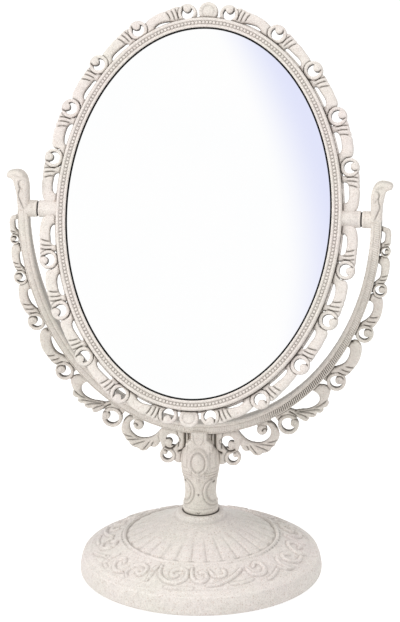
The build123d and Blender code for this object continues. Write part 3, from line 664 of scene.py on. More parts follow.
def head_carving():
    g = 0.33
    P = Plane(0, 77.5, 0, 102.6, g, floor=0.55)
    s = offset_of(P.U, P.V, GLASS_A, GLASS_B)
    web = np.minimum(s - 3.6, 5.75 - s)
    everything = (slice(None), slice(None))
    P.paint(everything, np.clip(web, -3, 3), np.full(s.shape, 0.95))
    # painted shade: a dark line along the foot of the rim's outer wall
    P.C = np.where((s > 4.6) & (s < 5.6), 0.95 * (1 - step(s, 4.85, 5.15)), P.C)
    web_shade = P.C.copy()
    base, lift = 1.75, 0.8
    for (c, r, hole, eye, er), leaf in zip(HEAD_VOLUTES, HEAD_LEAVES):
        w, d = P.loop(spline(leaf, 5))
        sw = s[w]
        body = base - 0.15 + (lift + 0.15) * pillow(d, 2.3)
        # the leaf sinks where it runs in to the rim
        body = body - 0.3 * (1 - step(sw, 4.9, 6.2))
        P.paint(w, d, body, moat=0.35)
    for (c, r, hole, eye, er), leaf in zip(HEAD_VOLUTES, HEAD_LEAVES):
        n = np.array([c[0] / GLASS_A ** 2, c[1] / GLASS_B ** 2])
        n /= np.linalg.norm(n)
        t = np.array([n[1], -n[0]])
        k = r / 4.6
        for a, m, e in (((4.75, -2.6), (5.0, 0.6), (5.9, 3.6)), ((6.5, -2.9), (6.9, 0.1), (7.9, 3.0)), ((8.6, -2.3), (9.2, 0.1), (10.5, 2.5))):
            line = [np.array(c) + k * (q[0] * t + q[1] * n) for q in (a, m, e)]
            # flute grooves with painted shade in them
            P.groove(line, 0.75, 0.3, 0.85)
            # the lobes between the flutes notch the leaf's edge
            tip = line[-1] + (line[-1] - line[-2]) / np.linalg.norm(line[-1] - line[-2]) * 0.9
            w = P.window([tip], 2.0)
            P.D[w] -= 0.55 * np.exp(-np.square(np.hypot(P.U[w] - tip[0], P.V[w] - tip[1]) / 0.7)) * (P.D[w] < 1.5)
    for c, r, hole, eye, er in HEAD_VOLUTES:
        n = np.array([c[0] / GLASS_A ** 2, c[1] / GLASS_B ** 2])
        n /= np.linalg.norm(n)
        P.volute(c, r, hole, eye, er, base, lift, (n[1], -n[0]))
    # rosette on the long axis
    c, r = ROSETTE
    w = P.window([(c[0] - r, c[1] - r), (c[0] + r, c[1] + r)])
    rho = np.hypot(P.U[w] - c[0], P.V[w] - c[1])
    P.paint(w, r - rho, base - 0.1 + 0.75 * dome(np.clip((rho - 3.75) / 1.05, -1, 1)) * (rho > 2.7) + np.where(rho <= 2.95, 0.95 * dome(rho / 3.0), 0), moat=0.8)
    # painted shade in the groove round the rosette's centre
    P.C[w] = np.maximum(P.C[w], 0.42 * np.exp(-np.square((rho - 2.85) / 0.28)))
    near = (s > 4.5) & (s < 5.7)
    P.H = np.where(near & (P.D > 0), np.minimum(P.H, 0.95 + 1.3 * step(s, 4.95, 5.5)), P.H)
    # the painted shade along the rim's foot is put back
    P.C = np.maximum(P.C, web_shade * (s < 5.55))
    P.cut()
    # painted shade in the hollows, where the surface lies below its blurred self
    soft = blur(P.H, 3)
    P.C = np.clip(P.C + np.clip((soft - P.H) * 0.55, 0, 0.5) * (P.D > 0), 0, 1)
    # painted shade on the upright walls: the glass opening counts as an opening too; the free outline stays light, with
    # little of it
    P.shade_walls(1.0, 0.25)
    P.wall = np.where(s < 5.9, 0.55, P.wall)
    P.mirrored(True, True)
    return P


def rim_mesh(side):
    """The oval rim: inner lip, channel with its bead row, and outer ridge."""
    # the third column is painted shade: dark against the glass, in the bead channel, down the outer wall and on the
    # hidden faces
    prof = [(0.0, 3.86, .9), (0.0, 4.3, .25), (0.1, 4.68, 0), (0.35, 4.94, 0), (0.7, 5.0, 0), (1.02, 4.92, 0), (1.26, 4.7, 0), (1.44, 4.34, .34), (1.7, 4.26, .36),
            (2.9, 4.26, .36), (3.12, 4.34, .34), (3.28, 4.68, 0), (3.52, 4.9, 0), (3.86, 4.96, 0), (4.22, 4.86, 0), (4.52, 4.58, 0), (4.7, 4.16, 0),
            (4.78, 3.5, .15), (4.8, 2.6, .4), (4.8, 1.2, .8), (4.8, 0.03, 1), (2.6, 0.03, 1), (0.9, 0.03, 1), (0.9, 3.8, 1)]
    s, y, c = (np.array(x) for x in zip(*prof))
    a = np.linspace(0, 2 * math.pi, 640, endpoint=False)
    g = np.stack([(GLASS_A + s)[None] * np.cos(a)[:, None], np.broadcast_to(side * y, (len(a), len(s))), (GLASS_B + s)[None] * np.sin(a)[:, None]], -1)
    return sweep(g, shade_val=np.broadcast_to(c, g.shape[:2]).copy())


def ellipse_steps(a, b, n, phase=0.0):
    # n angles evenly spaced along the ellipse
    t = np.linspace(0, 2 * math.pi, 6001)
    x, y = a * np.cos(t), b * np.sin(t)
    L = np.r_[0, np.cumsum(np.hypot(np.diff(x), np.diff(y)))]
    return np.interp((np.arange(n) + phase) / n * L[-1], L, t), L[-1]


def bead_row(side, count=292, off=2.28, r=0.8):
    """Beads moulded in the rim's channel, as one mesh."""
    rings, seg = 4, 10
    lat = np.linspace(0, math.radians(84), rings + 1)[1:]
    pts, shade_val = [(0, 0, 1)], [0]
    for la in lat:
        for k in range(seg):
            lo = 2 * math.pi * k / seg
            pts.append((math.sin(la) * math.cos(lo), math.sin(la) * math.sin(lo), math.cos(la)))
            # painted shade on the lower sides of each bead
            shade_val.append(max(0, (math.degrees(la) - 50) / 34) * 0.8)
    pts, shade_val = np.array(pts), np.array(shade_val)
    tri = np.array([(0, 1 + k, 1 + (k + 1) % seg) for k in range(seg)])
    quad = np.array([(1 + j * seg + k, 1 + (j + 1) * seg + k, 1 + (j + 1) * seg + (k + 1) % seg, 1 + j * seg + (k + 1) % seg)
                     for j in range(rings - 1) for k in range(seg)])
    bottom = np.array([[1 + (rings - 1) * seg + k for k in range(seg)]])
    t, _ = ellipse_steps(GLASS_A + off, GLASS_B + off, count)
    cx, cz = (GLASS_A + off) * np.cos(t), (GLASS_B + off) * np.sin(t)
    tx, tz = -(GLASS_A + off) * np.sin(t), (GLASS_B + off) * np.cos(t)
    n = np.hypot(tx, tz)
    tx, tz = tx / n, tz / n
    along, across, up = pts[:, 0] * r * 1.02, pts[:, 1] * r, pts[:, 2] * 0.78
    v = np.stack([cx[:, None] + along * tx[:, None] + across * tz[:, None],
                  np.broadcast_to(side * (4.22 + up), (count, len(pts))),
                  cz[:, None] + along * tz[:, None] - across * tx[:, None]], -1)
    shift = (np.arange(count) * len(pts))[:, None, None]
    faces = [(f[None] + shift).reshape(-1, f.shape[1]) for f in (quad, tri, bottom)]
    v = v.reshape(-1, 3)
    if side > 0:
        faces = [f[:, ::-1] for f in faces]
    # outward for both sides
    f0 = faces[1][0]
    nrm = np.cross(v[f0[1]] - v[f0[0]], v[f0[2]] - v[f0[0]])
    if nrm[1] * side < 0:
        faces = [f[:, ::-1] for f in faces]
    faces[2] = faces[2][:, ::-1]
    return {"v": v, "f": faces, "c": np.tile(shade_val, count)}


def boss_half(x0, x1, side, z=0.0, flip=1, grooves=()):
    """Half of a pivot boss, with a small rounded end and fine turned lines."""
    r = BOSS_R
    prof = [(x0, 0.0), (x0, r)]
    for gx in sorted(grooves):
        prof += [(gx - 0.22, r), (gx - 0.08, r - 0.13), (gx + 0.08, r - 0.13), (gx + 0.22, r)]
    prof += [(x1 - 0.45, r), (x1 - 0.18, r - 0.07), (x1 - 0.04, r - 0.24), (x1, r - 0.5), (x1, 0.0)]
    prof = [(flip * x, q) for x, q in prof]
    p = revolve_x(prof, 64, side, z)
    return p


head = head_carving()
for side, name, nd in ((-1, "frame_front", "head_frame_front"), (1, "frame_rear", "head_frame_rear")):
    carved = faced(head.carve(0.42, 2.9, 0.24, 0.08), side)
    rim = add_object(name + "_rim", [rim_mesh(side), bead_row(side)] + [boss_half(66.9, 77.0, side, 0.0, fx, (76.1,)) for fx in (1, -1)],
                     [PLASTIC_HEAD], tilted, 50)
    scrolls = add_object(name + "_scrolls", [carved], [PLASTIC_HEAD], tilted, 50)
    for ob in (rim, scrolls):
        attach(ob, "head")
        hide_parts(nd)
        print(ob.name, len(ob.data.polygons), sum(len(p.vertices) - 2 for p in ob.data.polygons))


# ------------------------------------------------------------------ glasses
def glass_plate(side):
    """Oval glass: mirror face, a dark ground edge just inside the rim that also stands in as painted shade of the gap
    under the lip, and the painted back.
    """
    back, face = 2.02, 4.0
    off = [-60.0, -50.0, -38.0, -26.0, -16.0, -8.0, -3.0, -0.86, -0.82, -0.2, 0.5, 0.8, 0.8, 0.5, -20.0, -60.0]
    yy = [face] * 8 + [face - 0.03, face - 0.14, face - 0.2, face - 0.35, back + 0.1, back, back, back]
    seg = 240
    a = np.linspace(0, 2 * math.pi, seg, endpoint=False)
    off, yy = np.array(off), np.array(yy)
    A, B = GLASS_A + off, GLASS_B + off
    A = np.where(off <= -60, 0.0, A)
    B = np.where(off <= -60, 0.0, B)
    X, Z = A[None] * np.cos(a)[:, None], B[None] * np.sin(a)[:, None]
    Y = np.broadcast_to(yy, X.shape).copy()
    if side > 0:
        # the magnifying side is dished
        rho = np.hypot(X, Z)
        R = 4900.0
        sag = np.sqrt(R * R - rho ** 2) - math.sqrt(R * R - 89.7 ** 2)
        Y[:, :8] -= np.clip(sag[:, :8], 0, None)
    g = np.stack([X, side * Y, Z], -1)[:, 1:-1]
    p = sweep(g, close_v=False)
    v, q = p["v"], p["f"][0]
    m = len(g[0])
    tri = []
    for col, yv in ((0, Y[0, 0]), (m - 1, back)):
        ring = np.arange(seg) * m + col
        centre = len(v)
        v = np.concatenate([v, [[0, side * yv, 0]]])
        tri.append(np.stack([ring, np.roll(ring, -1), np.full(seg, centre)], -1) if col == 0
                   else np.stack([np.roll(ring, -1), ring, np.full(seg, centre)], -1))
    tri = np.concatenate(tri)
    # faces have to turn the same way as the quads beside them
    f = orient(v, [q, np.zeros((0, 3), np.int64)])
    flipped = f[0][0][0] != q[0][0]
    f = [f[0], tri]
    n_top = np.cross(v[tri[0][1]] - v[tri[0][0]], v[tri[0][2]] - v[tri[0][0]])
    if n_top[1] * side < 0:
        f[1] = tri[:, ::-1]
    col_q = np.tile(np.arange(m - 1), seg) if len(q) == seg * (m - 1) else np.zeros(len(q))
    mq = np.where(col_q <= 5, 0, 1)
    mt = np.r_[np.zeros(seg), np.ones(seg)]
    n_q = np.cross(v[f[0][0][1]] - v[f[0][0][0]], v[f[0][0][2]] - v[f[0][0][0]])
    if n_q[1] * side < 0:
        f[0] = f[0][:, ::-1]
    return {"v": v, "f": f, "c": np.zeros(len(v)), "m": {4: mq, 3: mt}}


for side, name, nd in ((-1, "glass_front", "mirror_glass_front"), (1, "glass_rear", "mirror_glass_rear")):
    ob = add_object(name, [glass_plate(side)], [MIRROR, EDGE_AND_GAP_SHADE], tilted, 12)
    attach(ob, "head")
    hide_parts(nd)


# ------------------------------------------------------------------ yoke
BAR_T = [0, 0.25, 0.7, 1.3, 1.62, 1.78, 1.95, 2.3, 4.0, 4.3, 4.45, 4.6, 4.85, 5.05, 5.2]
BAR_H = [3.7, 4.0, 4.06, 4.1, 4.12, 3.75, 3.55, 3.55, 3.55, 3.55, 3.6, 3.96, 4.0, 3.8, 3.3]


def yoke_carving():
    g = 0.33
    P = Plane(0, 93.4, 47.4, 202.2, g, floor=0.4)
    base, lift = 1.2, 0.6
    for ((cx, cz), r, hole, eye, er), width in zip(YOKE_VOLUTES, VOLUTE_FOOT):
        n = np.array([cx / YOUT_A ** 2, (cz - PIVOT_H) / YOUT_B ** 2])
        n /= np.linalg.norm(n)
        far = np.array([cx, cz]) - n * (r + 1.6)
        w, d, _ = P.line([(cx, cz), tuple(far)], 5.0)
        P.paint(w, width / 2 - d, base - 0.25 + 0.35 * pillow(width / 2 - d, 1.2), moat=0.0)
    # leaves, largest first, then fans, then volutes over them
    for leaf in YOKE_LEAVES:
        w, d = P.loop(spline(leaf, 5))
        P.paint(w, d, base - 0.15 + (lift + 0.2) * pillow(d, 1.9), moat=0.3)
    for (c, r, hole, eye, er) in YOKE_VOLUTES[:4]:
        n = np.array([c[0] / YOUT_A ** 2, (c[1] - PIVOT_H) / YOUT_B ** 2])
        n /= np.linalg.norm(n)
        t = np.array([-n[1], n[0]])
        k = r / 4.5
        for a, e in (((4.3, -2.6), (5.7, 1.6)), ((6.4, -2.4), (8.3, 2.6)), ((8.9, -1.5), (11.0, 2.2))):
            if r < 3 and a[0] > 8:
                continue
            # flute grooves with painted shade in them
            P.groove([np.array(c) + k * (a[0] * t + a[1] * n), np.array(c) + k * ((a[0] + e[0]) / 2 * t - 0.25 * t + (a[1] + e[1]) / 2 * n),
                      np.array(c) + k * (e[0] * t + e[1] * n)], 0.7, 0.3, 0.95)
    w, d = P.loop(spline(FAN_OUTER, 3))
    P.paint(w, d, base - 0.15 + (lift + 0.2) * pillow(d, 1.5), moat=0.3)
    for line in ([(59.4, 86.1), (57.4, 86.2), (54.6, 85.9), (50.6, 85.2), (46.6, 84.9)],
                 [(56.2, 83.6), (54.2, 84.2), (51.0, 84.6), (47.0, 84.5)],
                 [(52.7, 81.5), (50.8, 82.7), (48.4, 83.6), (46.2, 84.2)],
                 [(61.8, 91.4), (60.2, 89.8), (58.0, 88.2), (55.4, 86.9)]):
        # grooves in the fan, with painted shade in them
        P.groove(line, 0.6, 0.3, 0.9)
    w, d = P.loop(spline(ARM_SCROLL, 3))
    P.paint(w, d, base - 0.15 + (lift + 0.2) * pillow(d, 1.6), moat=0.3)
    for line in ([(28.2, 61.6), (26.8, 63.2), (25.6, 64.8), (24.4, 66.5)],
                 [(33.8, 63.6), (31.6, 64.6), (29.0, 65.6), (26.4, 66.6)],
                 [(36.6, 66.6), (34.2, 66.8), (31.6, 67.0), (28.8, 67.2)],
                 [(38.2, 69.8), (36.8, 69.2), (35.0, 68.6), (32.8, 68.4)],
                 [(23.9, 63.2), (23.6, 64.6), (22.6, 66.2)]):
        # grooves in the arm scroll, with painted shade in them
        P.groove(line, 0.6, 0.3, 0.85)
    # the crevice over the curl, where it passes the bar, with painted shade in it
    P.groove([(31.8, 78.2), (33.0, 78.9), (34.6, 79.0), (36.2, 77.9), (37.3, 76.3)], 0.9, 0.42, 1.0, taper=False)
    w, d = P.loop(np.array([(28.4, 76.6), (27.6, 80.0), (33.4, 81.0), (32.6, 76.9)]))
    P.paint(w, d, base - 0.1 + lift * pillow(d, 1.6), moat=0.0)
    (cx, cz), r = SCROLL_EYE
    w = P.window([(cx - r, cz - r), (cx + r, cz + r)])
    rho = np.hypot(P.U[w] - cx, P.V[w] - cz)
    P.paint(w, r - rho, base + (lift + 0.15) * dome(np.clip((rho - 1.2) / 1.55, -1, 1)), moat=0.3)
    # crevice round the scroll's eye, with painted shade in it
    P.groove([(32.5, 73.2), (32.7, 74.4), (32.0, 75.3), (31.0, 75.1), (30.5, 74.2)], 0.8, 0.33, 1.0, taper=False)
    # ring, eye and strap beside the neck
    w, d = P.loop(np.array(TONGUE))
    P.paint(w, d, 0.9 + 0 * d, moat=0.0)
    w, d = P.loop(spline(NECK_MASS, 3))
    P.paint(w, d, base - 0.15 + (lift + 0.1) * pillow(d, 1.4), moat=0.2)
    strap = [(7.9, 74.3), (10.4, 74.2), (10.35, 69.0), (10.2, 66.6), (11.4, 65.2), (12.9, 63.9), (13.2, 60.0), (12.6, 56.6), (9.6, 55.7), (9.3, 61.0), (7.9, 63.0)]
    w, d = P.loop(spline(strap, 3))
    P.paint(w, d, base + (lift + 0.1) * pillow(d, 1.1), moat=0.5)
    (cx, cz), r, hole = NECK_RING
    (ex, ez), er = NECK_RING_EYE
    P.volute((cx, cz), r, hole, (ex, ez), er, base, lift, (-0.3, 1.0))
    (hx, hz), hr = NECK_HOLE
    (ex, ez), er = NECK_EYE
    w = P.window([(hx - hr, hz - hr), (hx + hr, hz + hr)])
    P.open[w] = np.maximum(P.open[w], np.minimum(hr - np.hypot(P.U[w] - hx, P.V[w] - hz), np.hypot(P.U[w] - ex, P.V[w] - ez) - er))
    w = P.window([(ex - er, ez - er), (ex + er, ez + er)])
    rho = np.hypot(P.U[w] - ex, P.V[w] - ez)
    P.paint(w, er - rho, base + (lift + 0.25) * dome(np.clip(rho / (er + 0.15), 0, 1)), moat=0.2)
    # crevices round the neck eye, with painted shade in them
    P.groove([(11.6, 65.8), (12.2, 64.6), (13.3, 63.5), (14.7, 62.8), (16.0, 63.0), (16.9, 63.9)], 1.0, 0.42, 1.0, taper=False)
    P.groove([(10.5, 66.0), (10.6, 64.4)], 0.8, 0.35, 1.0, taper=False)
    w = P.window([(10.3, 67.2)], 2.0)
    rho = np.hypot(P.U[w] - 10.5, P.V[w] - 67.6)
    P.paint(w, 0.95 - rho, base + 0.75 * dome(np.clip(rho / 1.1, 0, 1)), moat=0.5)
    for c, r, hole, eye, er in YOKE_VOLUTES:
        n = np.array([c[0] / YOUT_A ** 2, (c[1] - PIVOT_H) / YOUT_B ** 2])
        n /= np.linalg.norm(n)
        P.volute(c, r, hole, eye, er, base, lift, (-n[1], n[0]))
        # the band goes on inside the eye as a fine spiral, with a little painted shade in it
        k = er / 2.0
        P.groove([np.array(eye) + k * np.array(q) for q in ((1.15, 0.55), (0.75, -0.75), (-0.35, -0.75), (-0.55, 0.15), (0.1, 0.35))], 0.2, 0.26, 0.3)
    # crevice over the fifth volute, with painted shade in it
    P.groove([(43.6, 84.6), (45.2, 83.8), (46.8, 82.5), (48.1, 80.8)], 0.9, 0.4, 1.0, taper=False)
    P.cut()
    # slot between the strap and the neck, and the pocket under the bar, both darkened with painted shade
    slot = [(7.3, 72.4), (7.25, 66.5), (7.5, 64.3), (8.5, 62.7), (10.4, 61.8)]
    P.groove(slot, 1.3, 0.55, 1.0, taper=False, low=0.12)
    w = P.window([(4.2, 69.6), (6.4, 74.2)])
    X, Y = P.U[w], P.V[w]
    pocket = np.minimum(np.minimum(X - 3.4, 6.1 - X), np.minimum(Y - 70.6, 74.6 - Y))
    P.H[w] = np.where(pocket > 0, np.minimum(P.H[w], 0.35), P.H[w])
    P.C[w] = np.maximum(P.C[w], step(pocket, 0, 0.5))
    # crevices where volutes and fans meet the bar, with painted shade in them
    scroll_D, scroll_H, scroll_shade = P.D.copy(), P.H.copy(), P.C.copy()
    low = P.V < PIVOT_H
    t = offset_of(P.U, P.V - PIVOT_H, YIN_A, YIN_B)
    bar = np.where(low, np.minimum(t, 5.2 - t), np.minimum(np.minimum(t, 5.2 - t), PIVOT_H + 0.4 - P.V))
    bar_h = np.interp(t, BAR_T, BAR_H)
    tip_pts = np.concatenate([spline(ARM_TIP, 8, False), [(87.1, 180.0), (81.9, 180.0)]])
    w, d = P.loop(tip_pts)
    tip = np.full(P.U.shape, -3.0)
    tip[w] = d
    X, Y = P.U, P.V
    curl = step(Y, 195.0, 200.0) * step(X, 83.5, 88.0)
    tip_h = 2.75 + 1.45 * pillow(np.maximum(tip, 0), 1.7) - 0.9 * curl - 0.25 * step(X, 88.5, 92)
    k = step(Y, 180.6, 183.6)
    whole = np.maximum(bar, tip)
    h = np.where(Y < 180.6, bar_h, np.where(tip > 0, bar_h * (1 - k) + tip_h * k, tip_h))
    over = whole > 0
    edge = np.exp(-np.square(np.clip(-whole, 0, None) / 0.45)) * (scroll_D > 0) * (t > 2.6)
    P.H = np.where(over, h, np.maximum(scroll_H - 0.7 * edge, 0.35))
    P.C = np.where(over, 0, np.maximum(scroll_shade, edge))
    P.D = np.maximum(scroll_D, whole)
    # painted shade along the bar's two steps at the edges of the milled band
    P.C = np.where(over & (Y < 181.5), np.maximum(np.exp(-np.square((t - 1.8) / 0.16)), np.exp(-np.square((t - 4.47) / 0.14))) * 0.3, P.C)
    # small sunken pits where leaf and volute meet the bar, filled with painted shade
    for pit in ((59.2, 99.6), (74.2, 123.6), (73.6, 121.6), (81.6, 141.6), (83.4, 152.2), (86.2, 163.9), (65.6, 108.6), (77.2, 130.6), (46.6, 85.2)):
        w = P.window([pit], 2.5)
        q = np.exp(-np.square(np.hypot(P.U[w] - pit[0], P.V[w] - pit[1]) / 0.75)) * (t[w] > 5.1)
        P.H[w] = np.maximum(P.H[w] - 0.9 * q, 0.35)
        P.C[w] = np.maximum(P.C[w], q)
    P.floor = 0.3
    # carved marks on the arm's tip, with painted shade in them
    P.groove([(83.9, 197.2), (85.3, 196.6), (85.9, 195.2), (85.5, 193.4), (85.7, 191.4), (86.2, 189.6), (85.6, 187.4), (84.8, 185.4), (84.0, 183.6), (83.2, 182.2)], 0.5, 0.34, 0.85, low=1.8)
    P.groove([(85.5, 193.6), (84.5, 192.6), (83.9, 191.2)], 0.3, 0.32, 0.45, low=1.8)
    P.groove([(83.0, 199.2), (84.6, 198.2), (86.6, 198.4), (88.4, 199.4)], 0.3, 0.35, 0.3, low=2.0)
    # painted shade in the hollows, where the surface lies below its blurred self
    soft = blur(P.H, 3)
    P.C = np.clip(P.C + np.clip((soft - P.H) * 0.45, 0, 0.45) * (P.D > 0.1) * (1 - over), 0, 1)
    # painted shade on the upright walls, heavier towards the bar's outer side
    P.shade_walls(1.0, 0.25)
    P.wall = np.where((P.V < PIVOT_H) & (t < 6.2) & (t > -1), 0.52 + 0.4 * step(t, 4.2, 5.2), P.wall)
    P.mirrored(True, False)
    return P


def milled_band(side):
    """The fine slanted milling along the face of the bar, between its two smooth edges."""
    a, b = (YIN_A + 3.3), (YIN_B + 3.3)
    t = np.linspace(math.pi, 2 * math.pi, 3001)
    x, z = a * np.cos(t), b * np.sin(t)
    L = np.r_[0, np.cumsum(np.hypot(np.diff(x), np.diff(z)))]
    pitch = 1.08
    n = int(L[-1] / pitch) * 6
    pos = np.linspace(0, L[-1], n + 1)
    ang = np.interp(pos, L, t)
    cross = np.array([1.82, 1.9, 2.3, 2.8, 3.3, 3.8, 4.2, 4.34, 4.42])
    rise = np.array([-0.25, 0.6, 0.95, 1.0, 1.0, 0.95, 0.8, 0.5, -0.25])
    rows, shade_val = [], []
    # the milling is crispest low on the bar and fades up the arms
    zmid = PIVOT_H + b * np.sin(ang)
    xmid = np.abs(a * np.cos(ang))
    crisp = (0.3 + 0.7 * (1 - step(zmid, 100, 140))) * (0.15 + 0.85 * step(xmid, 24, 42)) * (1 - 0.93 * step(-a * np.cos(ang), 10, 34))
    for k, off in enumerate(cross):
        ph = (pos + (off - 3.3) * 0.25) / pitch
        saw = np.abs((ph % 1) * 2 - 1)
        y = 3.6 + 0.06 * rise[k] + (0.34 * (1 - crisp) + (0.08 + 0.5 * crisp) * saw) * max(rise[k], 0)
        if rise[k] < 0:
            y = np.full_like(pos, 3.5)
        rows.append(np.stack([(YIN_A + off) * np.cos(ang), side * y, PIVOT_H + (YIN_B + off) * np.sin(ang)], -1))
        # painted shade in the milling's valleys and along the band's edge rows
        shade_val.append(np.clip((0.56 - saw) * 4.4, 0, 1) * crisp if rise[k] > 0 else 0.75 * crisp)
    # the steps down at the band's edges, fully in painted shade
    for off in (4.42, 1.82):
        rows.append(np.stack([(YIN_A + off) * np.cos(ang), np.full_like(pos, side * 3.2), PIVOT_H + (YIN_B + off) * np.sin(ang)], -1))
        shade_val.append(np.ones_like(pos))
    g = np.stack(rows, 1)
    return sweep(g, close_u=False, shade_val=np.stack(shade_val, 1))


yoke = yoke_carving()
for side, name, nd in ((-1, "yoke_front", "yoke_front_shell"), (1, "yoke_rear", "yoke_rear_shell")):
    milling = add_object(name + "_milling", [milled_band(side)] + [boss_half(-83.4, -77.7, side, PIVOT_H, -fx, (-79.4,)) for fx in (1, -1)],
                         [PLASTIC_STAND], None, 50)
    scrolls = add_object(name + "_scrolls", [faced(yoke.carve(0.38, 4.35, 0.26, 0.05), side)], [PLASTIC_STAND], None, 50)
    for ob in (milling, scrolls):
        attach(ob, "stand")
        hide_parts(nd)
        print(ob.name, len(ob.data.polygons), sum(len(p.vertices) - 2 for p in ob.data.polygons))


# ------------------------------------------------------------------ neck
def neck_relief():
    g = 0.1
    P = Plane(-10.6, 10.6, 30.6, 74.2, g, floor=-5.0)
    P.H[:] = 0.0
    P.D[:] = 1.0
    U, V = P.U, P.V

    def ring(c, a, b, w, h, dark=0.0, x0=None):
        k = np.hypot((U - c[0]) / a, (V - c[1]) / b)
        d = (k - 1) * min(a, b)
        m = np.exp(-np.square(d / w))
        if x0 is not None:
            m = m * x0
        P.H += h * m
        # painted shade along the ring where dark is given
        if dark:
            P.C = np.maximum(P.C, m * dark)

    # oval cartouche, with painted shade in its grooves
    ring((0, 58.7), 4.35, 5.9, 0.5, 0.42)
    ring((0, 58.7), 3.35, 4.9, 0.4, -0.45, 0.42)
    ring((0, 58.7), 5.2, 6.8, 0.34, -0.28, 0.2)
    P.H += 0.3 * dome(np.clip(np.hypot(U / 3.2, (V - 58.7) / 4.7), 0, 1))
    # crown panel above the oval, with painted shade in its grooves
    for sx in (1, -1):
        P.groove([(sx * 2.6, 73.0), (sx * 2.5, 70.0), (sx * 1.6, 67.6), (0, 66.7)], 0.3, 0.34, 0.35, low=-5)
        P.groove([(sx * 5.3, 67.2), (sx * 5.5, 64.6), (sx * 6.4, 62.0)], 0.3, 0.34, 0.3, low=-5)
        # side panels and fret bars, with painted shade in the grooves
        P.groove([(sx * 5.6, 63.0), (sx * 5.6, 55.6), (sx * 9.2, 55.5)], 0.3, 0.32, 0.3, smooth=False, taper=False, low=-5)
        P.groove([(sx * 8.2, 63.0), (sx * 8.2, 56.6)], 0.25, 0.32, 0.25, taper=False, low=-5)
        for zz in (54.2, 52.7, 51.3):
            P.ridge([(sx * 3.4, zz), (sx * 9.4, zz)], 0.28, 0.5, smooth=False)
            P.groove([(sx * 3.4, zz - 0.75), (sx * 9.4, zz - 0.75)], 0.24, 0.28, 0.3, taper=False, low=-5)
        P.groove([(sx * 3.1, 54.8), (sx * 3.1, 50.6)], 0.3, 0.3, 0.3, taper=False, low=-5)
        # small sunken corner under the frets, filled with painted shade
        spot = np.exp(-(np.square((U - sx * 6.9) / 0.65) + np.square((V - 47.6) / 0.5)))
        P.H -= 0.7 * spot
        P.C = np.maximum(P.C, spot)
        # hourglass cartouches, with painted shade in their grooves
        side = (sx * U > 0)
        ring((sx * 8.3, 43.0), 5.4, 6.6, 0.5, 0.45, 0.0, side)
        ring((sx * 8.3, 43.0), 4.5, 5.7, 0.34, -0.4, 0.4, side)
        ring((sx * 8.3, 43.0), 6.3, 7.5, 0.34, -0.32, 0.42, side)
    for zz in (54.0, 52.5, 51.0, 49.6):
        rho = np.hypot(U, V - zz)
        P.H += 0.34 * dome(np.clip(rho / 0.72, 0, 1))
        # painted shade round each bead
        P.C = np.maximum(P.C, 0.25 * np.exp(-np.square((rho - 0.85) / 0.2)))
    # a small pit with painted shade in it
    for (x, zz) in ((0, 41.7),):
        rho = np.hypot(U - x, V - zz)
        P.H -= 0.45 * np.exp(-np.square(rho / 0.5))
        P.C = np.maximum(P.C, np.exp(-np.square(rho / 0.5)))
    # small groove at the foot, with painted shade in it
    P.groove([(-0.9, 33.0), (0, 32.1), (0.9, 33.0)], 0.35, 0.3, 0.8, smooth=False, low=-5)
    # waist line under the frets, with painted shade in it
    waist = np.exp(-np.square((V - 49.5) / 0.35)) * step(np.abs(U), 4.4, 6.0)
    P.H -= 0.5 * waist
    P.C = np.maximum(P.C, 0.4 * waist)
    # foot lines, with painted shade in the lower groove
    P.H += 0.2 * np.exp(-np.square((V - 33.2) / 0.5))
    P.H -= 0.2 * np.exp(-np.square((V - 34.4) / 0.3))
    P.C = np.maximum(P.C, 0.3 * np.exp(-np.square((V - 34.4) / 0.3)))
    return P


def neck_half(side):
    g = 0.2
    P = neck_relief()
    x = np.arange(-10.6, 10.61, g)
    y = np.arange(-0.4, 10.8, g)
    z = np.arange(30.6, 74.2, g)
    X2, Z2 = np.meshgrid(x, z, indexing="ij")
    rel = P.sample(P.H, X2, Z2)
    if side > 0:
        # plainer at the back, where the screws are
        rel = rel * (1 - step(Z2, 46.5, 48.5))
    r = np.interp(z, [q[1] for q in NECK_PROFILE], [q[0] for q in NECK_PROFILE])
    crown_D = np.full(X2.shape, -3.0)
    Q = Plane(-10.6, 10.6, 30.6, 74.2, g)
    w, d = Q.loop(np.array(CROWN))
    cd = np.full(Q.U.shape, -3.0)
    cd[w] = d
    crown_D[:] = cd[:crown_D.shape[0], :crown_D.shape[1]]
    vol = np.empty((len(x), len(y), len(z)), np.float32)
    for k, yy in enumerate(y):
        rho = np.hypot(X2, yy)
        body = rho - (r[None] + rel * step(yy, 0.5, 2.5))
        body = np.maximum(body, np.maximum(31.03 - Z2, Z2 - 64.7))
        R = 0.8
        q1, q2 = R - crown_D, yy - (6.2 + rel) + R
        crown = np.minimum(np.maximum(q1, q2), 0) + np.hypot(np.maximum(q1, 0), np.maximum(q2, 0)) - R
        m = np.clip(0.5 + 0.5 * (crown - body) / 0.9, 0, 1)
        f = crown * (1 - m) + body * m - 0.9 * m * (1 - m)
        if side > 0:
            for zc in NECK_SCREW_Z:
                hole = np.maximum(np.hypot(X2, Z2 - zc) - 3.0, 6.0 - yy)
                f = np.maximum(f, -hole)
        vol[:, k, :] = np.maximum(f, 0.03 - yy)
    v, f = mesh_volume(vol, (x[0], y[0], z[0]), (g, g, g), 0.015)
    # painted shade from the relief's crevices
    c = P.sample(P.C, v[:, 0], v[:, 2]) * step(v[:, 1], 0.5, 2.5)
    if side > 0:
        c = c * (1 - step(v[:, 2], 46.5, 48.5))
    # painted shadow: a dark band at the neck's foot, where it stands in the base's collar
    c = np.maximum(c, 1 - step(v[:, 2], 31.5, 32.15))
    return faced({"v": v, "f": f, "c": c}, side)


